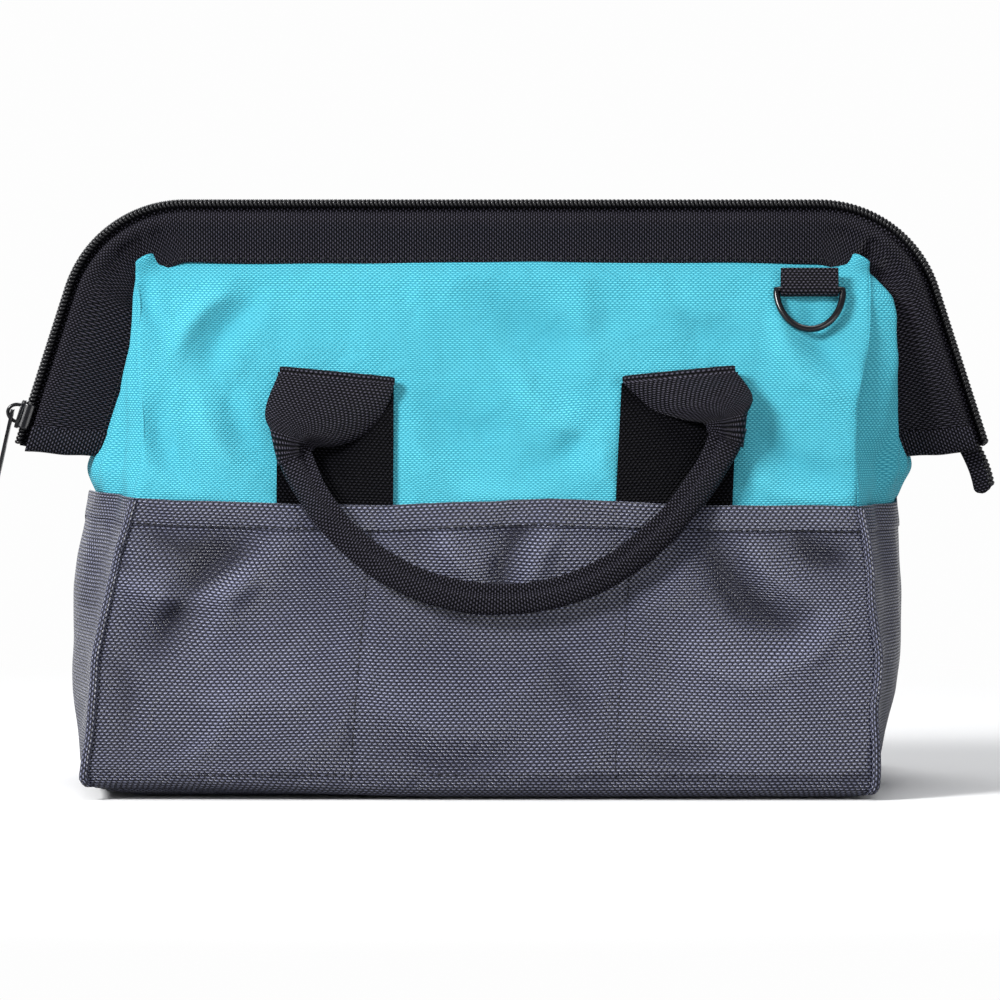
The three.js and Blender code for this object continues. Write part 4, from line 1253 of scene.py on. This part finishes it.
def tailPiece():
    x0, z0, ix, _ = mouthAt(mouthLength)
    rings, us = [], []
    for s in np.linspace(0, 1, 22):
        drop = tail["length"] * s
        middleX = x0 + ix * tail["out"] + 0.0004 + tail["lean"] * drop + tailSwing(s) * 0.6
        middleZ = z0 - tail["fall"] * drop - 0.0004
        half = tail["width"] / 2 * roundedEnd(s, 0.82, 0.03)
        thick = tail["thickness"] / 2 * (1 - 0.25 * s) * roundedEnd(s, 0.9, 0.05)
        ring = []
        for a in anglesRound(20):
            ca, sa = math.cos(a), math.sin(a)
            px = half * squarer(ca, 0.6)
            py = thick * squarer(sa, 0.7) * (0.75 + 0.25 * abs(ca))
            ring.append((middleX + px * 0.95, py, middleZ + px * 0.3))
        rings.append(ring)
        us.append(drop)
    return tubePiece("zipTail", rings, us)


finishPiece(tailPiece(), "webbing", "bag", "zip_tail")
tailTurns = []
tooth = coilItem()
tooth.hide_render = True
x0, z0, ix, _ = mouthAt(mouthLength)
for s in np.linspace(0.02, 0.86, 20):
    drop = tail["length"] * s
    turnX = x0 + ix * tail["out"] + tail["lean"] * drop + tailSwing(s) * 0.6 + 0.0036
    tailTurns.append(((turnX, 0.0015, z0 - tail["fall"] * drop + 0.0008), (1, 0, 0.3)))
finishPiece(rowPiece("zipTailCoil", [tailTurns], tooth, coil["pitch"], "coilPlastic"), "coilPlastic", "bag")
bpy.data.objects.remove(tooth)
print("wing ends done")


# Straps, flaps and grips

handle = {
    "strap": 0.050, "middle": 0.0715, "thickness": 0.0016, "foot": 0.109, "tilt": 0.0024,
    "fold": 0.177, "foldDepth": 0.037429, "foldRadius": 0.0026,
    "halfSpan": 0.094, "top": 0.150, "drop": 0.066, "bend": 1.45, "halfHeight": 0.0066,
    "halfThickness": 0.0046, "rightLean": 0.055, "rightRise": 0.008, "rightOut": 0.004, "leftIn": 0.0042,
}


def foldRise(x):  # the fold's line climbs towards the ends of the bag
    return handle["tilt"] * (abs(x) - handle["middle"]) / (handle["strap"] / 2)


def strapPiece(name, side, middleX):
    sign = -1 if side == "front" else 1
    xs = np.linspace(-0.5, 0.5, 21) * handle["strap"] + middleX
    shares = np.linspace(0, 1, 40)
    table = np.zeros((len(shares), len(xs), 3))
    for c, x in enumerate(xs):
        top = handle["fold"] - 0.0004 + foldRise(x)
        for r, share in enumerate(shares):
            z = handle["foot"] + (top - handle["foot"]) * share
            lean = (0.002 + handle["rightLean"] * (z - 0.12)) * (middleX > 0)
            place, _ = onWall(side, x + lean, z)
            depth = abs(place.y) + 0.0018
            if z < pocket["hem"] + 0.004:
                cover, _ = onWall(side + "Pocket", x + lean, min(z, pocket["hem"] - 0.001))
                depth = min(depth, abs(cover.y) - 0.0035)
            table[r, c] = (x + lean, sign * depth, z)
    if side == "back":
        table = table[:, ::-1]
    u = xs - xs[0]
    v = (handle["fold"] - handle["foot"]) * shares
    piece = gridPiece(name, table, np.stack(np.meshgrid(u, v), axis=-1)[:, :, ::-1])
    return thicken(piece, handle["thickness"], offset=0, bevel=0.0003)


for side in ("front", "back"):
    for which, x in (("left", -handle["middle"]), ("right", handle["middle"])):
        piece = strapPiece(f"{side}{which.capitalize()}Strap", side, x)
        # the straps take the webbing copy with painted shade
        finishPiece(piece, "paintedShadeWebbing", "bag", f"{side}_{which}_strap")


def gripSeat(x, z):  # how far from the middle the grip's centre hangs, clear of the bulging pocket
    place, _ = onWall("frontPocket" if z < pocket["hem"] + 0.004 else "front", x, z)
    return -place.y


def foldedDepth(share, lift, gather=1.0):
    # depth of the folded webbing's front: a thick lower layer, and its thinner back layer above
    step = ramp(0.18, 0.34, share)
    rolled = 0.22 * math.exp(-(((share - 0.10) / 0.11) ** 2))
    return 1 + gather * (rolled - 0.74 * step) + lift


def sectionRing(centre, across, half, thick, power, lift):
    # a section in the plane of across and depth; across lies in XZ and depth along -Y
    ring = []
    for a in anglesRound(56):
        ca, sa = math.cos(a), math.sin(a)
        p = half * squarer(ca, 2 / power)
        q = thick * squarer(sa, 2 / power)
        if sa > 0:
            q *= foldedDepth(p / half, lift)
        else:
            q *= 1 - 0.72 * ramp(0.18, 0.34, p / half)
        ring.append((centre[0] + across[0] * p, centre[1] - q, centre[2] + across[1] * p))
    return ring


def gripCurve(turn):
    x = -handle["halfSpan"] * math.cos(turn)
    low = max(1e-6, math.sin(turn))
    z = handle["top"] - handle["drop"] * low ** handle["bend"]
    dx = handle["halfSpan"] * low
    dz = -handle["drop"] * handle["bend"] * low ** (handle["bend"] - 1) * math.cos(turn)
    size = math.hypot(dx, dz)
    right = ramp(0.6, 1.0, turn / math.pi)
    left = 1 - ramp(0.0, 0.35, turn / math.pi)
    x = x + handle["rightOut"] * right + handle["leftIn"] * left
    return x, z + handle["rightRise"] * right, dx / size, dz / size


depths = []
turnsGrip = np.linspace(0, math.pi, 181)
for turn in turnsGrip:
    x, z, dx, dz = gripCurve(turn)
    low = z - handle["halfHeight"] * abs(dx)
    depths.append(max(gripSeat(x, low), gripSeat(x, z)) + handle["halfThickness"] + 0.0012)
depths = np.array(depths)
for _ in range(24):
    padded = np.pad(depths, 1, "edge")
    depths = np.maximum(depths, (padded[:-2] + padded[2:]) / 2 * 0.999)
for _ in range(50):
    padded = np.pad(depths, 1, "edge")
    depths = (padded[:-2] + padded[1:-1] * 2 + padded[2:]) / 4


def gripPiece(name):
    rings, us = [], []
    run = 0.0
    last = None
    for i, turn in enumerate(turnsGrip[4:-4], 4):
        x, z, dx, dz = gripCurve(turn)
        wobble = 0.0012 * ripple(turn, 0, 0, 1.3, 5) + 0.0003 * ripple(turn, 0, 0, 9, 2)
        fromEnd = min(i, len(turnsGrip) - 1 - i) / (len(turnsGrip) - 1)
        nearEnd = 1 - ramp(0, 0.2, fromEnd)
        half = handle["halfHeight"] * (1 + 0.16 * nearEnd) + 0.0004 * ripple(turn, 1, 0, 6, 1)
        half += 0.00022 * ripple(turn, 1, 0, 34, 7)
        centre = (x + wobble * dz, -depths[i], z + wobble)
        if last is not None:
            run += math.dist(last, centre)
        last = centre
        lift = 0.10 * ripple(turn, 3, 0, 7, 3) + 0.05 * ripple(turn, 3, 0, 26, 4)
        rings.append(sectionRing(centre, (-dz, dx), half, handle["halfThickness"], 2.9, lift))
        us.append(run)
    return tubePiece(name, rings, us)


frontGrip = gripPiece("frontHandleGrip")
backGrip = mirrored(frontGrip, "backHandleGrip", 1)
finishPiece(frontGrip, "webbing", "front_handle", "front_handle_grip")
finishPiece(backGrip, "webbing", "back_handle", "back_handle_grip")


flapShape = {  # the two edges of each flap in millimetres, from the fold down to the grip
    "left": {
        "outer": (
            (-95.6, 179.4), (-98.4, 173), (-101, 166), (-101.6, 160.5), (-99.6, 155.5), (-96.6, 150.5),
        ),
        "inner": ((-46, 175), (-48.6, 166), (-54, 157.5), (-62.5, 150.5), (-74, 147.5), (-83.6, 148.6)),
    },
    "right": {
        "outer": (
            (-100.4, 179.6), (-103.6, 176), (-107, 171), (-107.6, 167), (-105.5, 162.5), (-103.6, 158.5),
        ),
        "inner": ((-51.8, 175), (-58.5, 168.5), (-66, 162.5), (-77, 159), (-86, 157.6), (-90.6, 156.2)),
    },
}


def alongPoints(points, t):  # a smooth run through a few places, from 0 to 1
    points = np.array(points, float) / 1000
    spot = t * (len(points) - 1)
    k = min(int(spot), len(points) - 2)
    u = spot - k
    a, b, c, d = (points[min(max(k + j, 0), len(points) - 1)] for j in (-1, 0, 1, 2))
    return 0.5 * (2 * b + (c - a) * u + (2 * a - 5 * b + 4 * c - d) * u**2 + (3 * b - a - 3 * c + d) * u**3)


def flapPiece(name, which):
    # webbing that rolls over the fold, fans down and gathers into one end of the grip
    shape = flapShape[which]
    last = turnsGrip[12] if which == "left" else turnsGrip[-13]
    endX, endZ, edx, edz = gripCurve(last)
    endDepth = depths[12] if which == "left" else depths[-13]
    if which == "right":
        endX, edz = -endX, -edz
    outTop, inTop = alongPoints(shape["outer"], 0), alongPoints(shape["inner"], 0)
    rings, us = [], []
    run = 0.0
    radius = handle["foldRadius"] * 0.68
    middle, half = (outTop[0] + inTop[0]) / 2, (inTop[0] - outTop[0]) / 2
    for a in np.linspace(-1.5, math.pi / 2, 11):
        ring = []
        for b in anglesRound(48):
            cb, sb = math.cos(b), math.sin(b)
            p = half * squarer(cb, 0.25)
            q = handle["thickness"] / 2 * squarer(sb, 0.5)
            x = middle + p
            rise = foldRise(x)
            out, up = (radius + q) * math.sin(a), (radius + q) * math.cos(a)
            ring.append((x, -(handle["foldDepth"] + out), handle["fold"] + rise + up))
        rings.append(ring)
        us.append(run)
        run += radius * 0.29
    foldFace = handle["foldDepth"] + radius
    steps = 30
    for i in range(1, steps + 1):
        t = i / steps
        gather = ramp(0.2, 1.0, t)
        outX, outZ = alongPoints(shape["outer"], t)
        inX, inZ = alongPoints(shape["inner"], t)
        ax, az = inX - outX, inZ - outZ
        size = math.hypot(ax, az)
        across = (ax / size, az / size)
        blend = ramp(0.8, 1.0, t)
        across = (across[0] * (1 - blend) - edz * blend, across[1] * (1 - blend) + edx * blend)
        length = math.hypot(*across)
        across = (across[0] / length, across[1] / length)
        cx = (outX + inX) / 2 * (1 - blend) + endX * blend
        cz = (outZ + inZ) / 2 * (1 - blend) + endZ * blend
        halfHere = size / 2 * (1 - blend) + 0.0086 * blend
        face = foldFace + (endDepth - foldFace) * t ** 1.1
        gain = handle["halfThickness"] + 0.0005 - handle["thickness"] / 2
        thick = handle["thickness"] / 2 + gain * gather ** 2.2
        power = 7 - 4.4 * gather ** 1.5
        ring = []
        for b in anglesRound(48):
            cb, sb = math.cos(b), math.sin(b)
            p = halfHere * squarer(cb, 2 / power)
            q = thick * squarer(sb, 2 / power)
            share = p / halfHere
            open_ = math.sin(math.pi * t) * (1 - blend)
            bulge = 0.0062 * open_ * (1 - share * share) - 0.0012 * open_ * share
            pleats = 0.0007 * open_ * math.sin(7.0 * share + 1.0) * gather
            if sb > 0:
                q *= foldedDepth(share, 0.0, gather ** 3)
            else:
                q *= 1 - 0.72 * gather ** 3 * ramp(0.18, 0.34, share)
            ring.append((cx + across[0] * p, -(face + bulge + pleats) - q, cz + across[1] * p))
        rings.append(ring)
        us.append(run)
        run += 0.0016
    return tubePiece(name, rings, us)


frontLeftFlap = flapPiece("frontLeftHandleFlap", "left")
rightFlapPlain = flapPiece("rightFlapPlain", "right")
frontRightFlap = mirrored(rightFlapPlain, "frontRightHandleFlap", 0)
bpy.data.objects.remove(rightFlapPlain)
backLeftFlap = mirrored(frontLeftFlap, "backLeftHandleFlap", 1)
backRightFlap = mirrored(frontRightFlap, "backRightHandleFlap", 1)
finishPiece(frontLeftFlap, "webbing", None, "front_left_handle_flap")
finishPiece(frontRightFlap, "webbing", None, "front_right_handle_flap")
finishPiece(backLeftFlap, "webbing", None, "back_left_handle_flap")
finishPiece(backRightFlap, "webbing", None, "back_right_handle_flap")
for side, sign, left, right in (
    ("front", -1, frontLeftFlap, frontRightFlap), ("back", 1, backLeftFlap, backRightFlap),
):
    for piece, end in ((left, -1), (right, 1)):
        start = Vector((end * handle["middle"], sign * handle["foldDepth"], handle["fold"] + 0.0012))
        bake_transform(piece)
print("handles done")


# D-ring and its loop

ring = {
    "x": 0.133, "z": 0.2140, "depth": 0.017832, "lean": math.radians(25.68), "half": 0.0144,
    "drop": 0.0185, "wire": 0.00148,
}
ringPlace = Matrix.Translation((ring["x"], -ring["depth"], ring["z"]))
ringFrame = ringPlace @ Matrix.Rotation(-ring["lean"], 4, "X")
halfTurn = np.linspace(0, math.pi, 41)
outline = [(ring["half"] * math.cos(a), 0, -ring["drop"] * math.sin(a)) for a in halfTurn]
bar = [(x, 0, 0) for x in np.linspace(-ring["half"], ring["half"], 14)[1:-1]]
dRing = curvePiece("dRing", [outline + bar], bevel=ring["wire"], closed=True, resolution=6)
dRing.data.transform(ringFrame)
finishPiece(dRing, "blackMetal", "ring", "d_ring")

loop = {"radius": 0.0024, "halfWidth": 0.0125, "halfThickness": 0.00058}
down = [(-0.0028 + 0.0004 * t, 0.0090 * (1 - t)) for t in np.linspace(0, 1, 8)]
lowerTurn = np.linspace(math.pi, 2 * math.pi, 13)[1:]
under = [(loop["radius"] * math.cos(a), loop["radius"] * math.sin(a)) for a in lowerTurn]
upward = [(loop["radius"] - 0.0016 * t, 0.0080 * t) for t in np.linspace(0, 1, 7)[1:]]
path = np.array(down + under + upward)
loopRings, us = [], []
run = 0.0
for i, (y, z) in enumerate(path):
    before, after = path[max(0, i - 1)], path[min(len(path) - 1, i + 1)]
    d = after - before
    d = d / np.linalg.norm(d)
    normal = (d[1], -d[0])
    section = []
    for b in anglesRound(32):
        cb, sb = math.cos(b), math.sin(b)
        p = loop["halfWidth"] * squarer(cb, 0.25)
        q = loop["halfThickness"] * squarer(sb, 0.5)
        section.append((p, y + normal[0] * q, z + normal[1] * q))
    loopRings.append(section)
    if i:
        run += float(np.linalg.norm(path[i] - path[i - 1]))
    us.append(run)
dLoop = tubePiece("dRingLoop", loopRings, us)
dLoop.data.transform(ringFrame)
finishPiece(dLoop, "webbing", "bag", "d_ring_loop")


# Slider and pull tab

slide = {
    "rest": 0.013, "length": 0.012, "plate": 0.0017, "inner": 0.0031, "top": 0.0060, "gap": 0.0003,
    "lip": 0.0012, "low": 0.0029, "bridgeHalf": 0.00375, "bridgeHeight": 0.0047, "bridgeWire": 0.0008,
    "barOut": 0.0108,
}
legAngle = math.pi / 2 - legTurn
sx = -mouth["halfFoot"] + math.sin(legAngle) * slide["rest"]
sz = mouth["foot"] + math.cos(legAngle) * slide["rest"]
outward = Vector((-math.cos(legAngle), 0, math.sin(legAngle)))
upLeg = Vector((math.sin(legAngle), 0, math.cos(legAngle)))
sliderFrame = Matrix((
    (outward.x, 0, upLeg.x, sx), (0, 1, 0, 0), (outward.z, 0, upLeg.z, sz), (0, 0, 0, 1),
))


def sliderPiece():
    base = slide["top"] + slide["gap"]
    lengthHalf = slide["length"] / 2
    plateOutline = []
    for a in anglesRound(48):
        ca, sa = math.cos(a), math.sin(a)
        z = lengthHalf * squarer(ca, 0.55)
        width = 0.0046 + 0.0014 * (1 - (z / lengthHalf)) / 2
        plateOutline.append((width * squarer(sa, 0.6), z, 0))
    plateHalf = slide["plate"] / 2
    plate = curvePiece("sliderPlate", [plateOutline], bevel=0.0004, extrude=plateHalf - 0.0004, flat=True,
        resolution=3)
    plate.data.transform(Matrix((
        (0, 0, 1, base + plateHalf), (1, 0, 0, 0), (0, 1, 0, 0), (0, 0, 0, 1),
    )))
    pieces = [plate]
    for side in (-1, 1):
        rings = []
        for z in np.linspace(-lengthHalf + 0.0004, lengthHalf - 0.0004, 15):
            outer = 0.0046 + 0.0013 * (1 - z / lengthHalf) / 2
            low = slide["low"] - slide["lip"]
            section = [
                (base + 0.0006, outer), (base + 0.0006, slide["inner"]), (slide["low"], slide["inner"]),
                (slide["low"], 0.0016), (low + 0.0003, 0.0014), (low, 0.0017), (low, outer - 0.0006),
                (low + 0.0006, outer),
            ]
            rings.append([(x, side * y, z) for x, y in section])
        pieces.append(tubePiece("flange", rings, np.linspace(0, 0.012, 15)))
    half, face = slide["bridgeHalf"], base + slide["plate"]
    arch = [(face - 0.0004, 0, -half)]
    for a in np.linspace(math.pi, 0, 19):
        arch.append((face + slide["bridgeHeight"] * math.sin(a), 0, half * math.cos(a)))
    arch.append((face - 0.0004, 0, half))
    pieces.append(curvePiece("bridge", [arch], bevel=slide["bridgeWire"], closed=False))
    whole = joined("zipSlider", *pieces)
    whole.data.transform(sliderFrame)
    return whole


finishPiece(sliderPiece(), "blackMetal", "slider", "zip_slider")

pull = {
    "length": 0.034, "half": 0.0045, "eyeHalf": 0.0022, "eye": 0.0063, "bar": 0.0008, "shoulder": 0.005,
    "thickness": 0.0015, "edge": 0.0003, "lean": math.radians(12.63),
    "slotMiddle": 0.0220, "slotHalf": 0.0052, "slotRadius": 0.0019,
}


def pullPiece():
    shape = []
    half, wire, eyeHalf, eyeTop = pull["half"], pull["bar"], pull["eyeHalf"], pull["eye"]
    eyeWidth = eyeHalf + 2 * wire
    for a in np.linspace(math.pi, 1.5 * math.pi, 6):
        shape.append((-eyeWidth + wire + wire * math.cos(a), wire * math.sin(a) * 0.9))
    for a in np.linspace(1.5 * math.pi, 2 * math.pi, 6):
        shape.append((eyeWidth - wire + wire * math.cos(a), wire * math.sin(a) * 0.9))
    shape.append((eyeWidth, eyeTop))
    for t in np.linspace(0, 1, 8)[1:]:
        k = t * t * (3 - 2 * t)
        shape.append((eyeWidth + (half - eyeWidth) * k, eyeTop + pull["shoulder"] * t))
    for a in np.linspace(0, math.pi, 15):
        shape.append((half * math.cos(a), pull["length"] - half + half * math.sin(a)))
    for t in np.linspace(1, 0, 8):
        k = t * t * (3 - 2 * t)
        shape.append((-(eyeWidth + (half - eyeWidth) * k), eyeTop + pull["shoulder"] * t))
    eye = [
        (-eyeHalf, wire), (-eyeHalf, eyeTop - 0.0015), (-eyeHalf + 0.001, eyeTop - 0.0002),
        (eyeHalf - 0.001, eyeTop - 0.0002), (eyeHalf, eyeTop - 0.0015), (eyeHalf, wire),
    ]
    slotHole = []
    for a in anglesRound(24):
        up = pull["slotHalf"] if math.sin(a) > 0 else -pull["slotHalf"]
        across, along = pull["slotRadius"] * math.cos(a), pull["slotRadius"] * math.sin(a)
        slotHole.append((across, pull["slotMiddle"] + up + along))
    piece = curvePiece("pullTab", [shape, eye, slotHole], bevel=pull["edge"],
        extrude=pull["thickness"] / 2 - pull["edge"], flat=True, resolution=3)
    bar = sx + outward.x * slide["barOut"], sz + outward.z * slide["barOut"]
    down = Vector((-math.sin(pull["lean"]), 0, -math.cos(pull["lean"])))
    side = Vector((-math.cos(pull["lean"]), 0, math.sin(pull["lean"])))
    piece.data.transform(Matrix((
        (0, down.x, side.x, bar[0]), (1, 0, 0, 0), (0, down.z, side.z, bar[1]), (0, 0, 0, 1),
    )))
    weld(piece, 1e-7)
    return piece


finishPiece(pullPiece(), "blackMetal", "pull", "pull_tab")
print("metal pieces done")


# Stitches

def wallLine(side, places, lift=0.0001):
    line = []
    for x, z in places:
        point, normal = onWall(side, x, z, lift)
        line.append((point, normal))
    return line


stitching = {"gap": 0.0034, "low": 0.0105, "fromEdge": 0.0024, "hemLift": 0.0008}
bagLines = []
seamTop = pocket["hem"] - hem["drop"]
for side in ("frontPocket", "backPocket"):
    for x in pocket["bays"]:
        upright = [(x + float(slumpAt(z)), z) for z in np.linspace(0.010, seamTop, 60)]
        bagLines.append(wallLine(side, upright))
    low, high = -float(halfLength(0.11)) + 0.004, float(halfLength(0.11)) - 0.004
    flip = 1 if side == "frontPocket" else -1
    underHem = []
    for x in np.linspace(low + 0.007, high - 0.007, 150):
        lifted = seamTop + float(np.interp(x * flip, hemWave["places"], hemWave["lifts"]))
        underHem.append((x + float(slumpAt(seamTop)), lifted))
    bagLines.append(wallLine(side, underHem, stitching["hemLift"]))
    aboveFoot = [(x + float(slumpAt(0.01)), stitching["low"]) for x in np.linspace(low, high, 150)]
    bagLines.append(wallLine(side, aboveFoot))
bagRow = rowPiece("bagStitches", bagLines, stitch, stitching["gap"], "thread")
finishPiece(bagRow, "thread", "bag")

bandLines = []
for sign in (-1, 1):
    line = []
    for s in np.linspace(0.012, mouthLength - 0.012, 320):
        across = sign * (mouth["face"] + 0.0007 + 0.0005 * ripple(s, 0, 0, 38, 2.0))
        line.append((onMouth(s, bandWidth(s) - stitching["fromEdge"], across), (0, sign, 0)))
    bandLines.append(line)
bandRow = rowPiece("bandStitches", bandLines, stitch, stitching["gap"], "thread")
finishPiece(bandRow, "thread", "bag")
bpy.data.objects.remove(stitch)
print("stitches done")


# Pieces that keep the CAD's shape and only take a look

for node, look in (
    ("front_frame_wire", "frameSteel"), ("back_frame_wire", "frameSteel"), ("base_board", "boardPlastic"),
):
    for owner in bpy.data.objects:
        if owner.name.split(".")[0] == node:
            owner.data.materials.clear()
            owner.data.materials.append(looks[look])


# Stage, lights and camera

floorLook = {"given": 0.3, "paint": 0.86, "far": 0.985, "fadeFrom": 0.30, "fadeTo": 0.75}
floorMaterial, floorTree, floorShader = newMaterial("floorPaint")
floorShader.inputs["Roughness"].default_value = 0.9
floorRays = floorTree.nodes.new("ShaderNodeLightPath")
floorTone = colourMix(floorTree, floorRays.outputs["Is Camera Ray"], (floorLook["given"],) * 3,
    (floorLook["paint"],) * 3)
floorTree.links.new(floorTone, floorShader.inputs["Base Color"])
floorPlace = floorTree.nodes.new("ShaderNodeTexCoord")
floorAway = floorTree.nodes.new("ShaderNodeVectorMath")
floorAway.operation = "LENGTH"
floorTree.links.new(floorPlace.outputs["Object"], floorAway.inputs[0])
floorFade = floorTree.nodes.new("ShaderNodeMapRange")
floorFade.interpolation_type = "SMOOTHSTEP"
floorFade.inputs["From Min"].default_value = floorLook["fadeFrom"]
floorFade.inputs["From Max"].default_value = floorLook["fadeTo"]
floorTree.links.new(floorAway.outputs["Value"], floorFade.inputs["Value"])
floorGlow = floorTree.nodes.new("ShaderNodeEmission")
floorGlow.inputs["Color"].default_value = (*(floorLook["far"],) * 3, 1)
floorMix = floorTree.nodes.new("ShaderNodeMixShader")
floorTree.links.new(floorFade.outputs["Result"], floorMix.inputs[0])
floorTree.links.new(floorShader.outputs[0], floorMix.inputs[1])
floorTree.links.new(floorGlow.outputs[0], floorMix.inputs[2])
floorOut = next(n for n in floorTree.nodes if n.type == "OUTPUT_MATERIAL")
floorTree.links.new(floorMix.outputs[0], floorOut.inputs["Surface"])
floor = meshPiece("stageFloor", [(-4, -4, 0), (4, -4, 0), (4, 6, 0), (-4, 6, 0)], [(0, 1, 2, 3)])
floor.data.materials.append(floorMaterial)
floor.location.z = -0.0004
floor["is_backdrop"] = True

room = {"sky": (0.9, 0.93, 1.0), "strength": 0.20, "seen": 0.985}  # seen is what the camera sees
world = bpy.data.worlds.new("paleRoom")
deck.world = world
world.use_nodes = True
worldTree = world.node_tree
worldTree.nodes.clear()
sky = worldTree.nodes.new("ShaderNodeBackground")
seen = worldTree.nodes.new("ShaderNodeBackground")
sky.inputs["Color"].default_value = (*room["sky"], 1)
sky.inputs["Strength"].default_value = room["strength"]
seen.inputs["Color"].default_value = (*(room["seen"],) * 3, 1)
rays = worldTree.nodes.new("ShaderNodeLightPath")
pick = worldTree.nodes.new("ShaderNodeMixShader")
worldOut = worldTree.nodes.new("ShaderNodeOutputWorld")
worldTree.links.new(rays.outputs["Is Camera Ray"], pick.inputs[0])
worldTree.links.new(sky.outputs[0], pick.inputs[1])
worldTree.links.new(seen.outputs[0], pick.inputs[2])
worldTree.links.new(pick.outputs[0], worldOut.inputs["Surface"])


def areaLight(name, place, aim, size, power):
    data = bpy.data.lights.new(name, "AREA")
    data.size = size
    data.energy = power
    lamp = bpy.data.objects.new(name, data)
    deck.collection.objects.link(lamp)
    lamp.location = place
    lamp.rotation_euler = (Vector(aim) - Vector(place)).to_track_quat("-Z", "Y").to_euler()


lights = {
    "keyLight": {"place": (-1.7, -1.25, 1.5), "aim": (0, 0, 0.12), "size": 0.7, "power": 84},
    "fillLight": {"place": (1.5, -2.2, 0.4), "aim": (0, 0, 0.12), "size": 1.4, "power": 27},
    "topLight": {"place": (0.2, 0.1, 2.0), "aim": (0, 0, 0.1), "size": 1.0, "power": 16},
    "backLight": {"place": (-0.6, 2.6, 1.2), "aim": (0, 0, 0.12), "size": 1.8, "power": 26},
}
for name, light in lights.items():
    areaLight(name, **light)

shot = {"distance": 4.0, "elevation": math.radians(3.0), "width": 0.4345, "aim": (-0.0008, 0.0, 0.1221)}
lens = bpy.data.cameras.new("photoCamera")
camera = bpy.data.objects.new("photoCamera", lens)
deck.collection.objects.link(camera)
aim = Vector(shot["aim"])
back = Vector((0, -math.cos(shot["elevation"]), math.sin(shot["elevation"])))
camera.location = aim + back * shot["distance"]
camera.rotation_euler = (-back).to_track_quat("-Z", "Y").to_euler()
lens.sensor_width = 36
lens.lens = 36 * shot["distance"] / shot["width"]
lens.clip_start = 0.1
lens.clip_end = 20
deck.camera = camera
deck.view_settings.view_transform = "Standard"

low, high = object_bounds()
print("visual", [round(v * 1000, 1) for v in (*low, *high)])
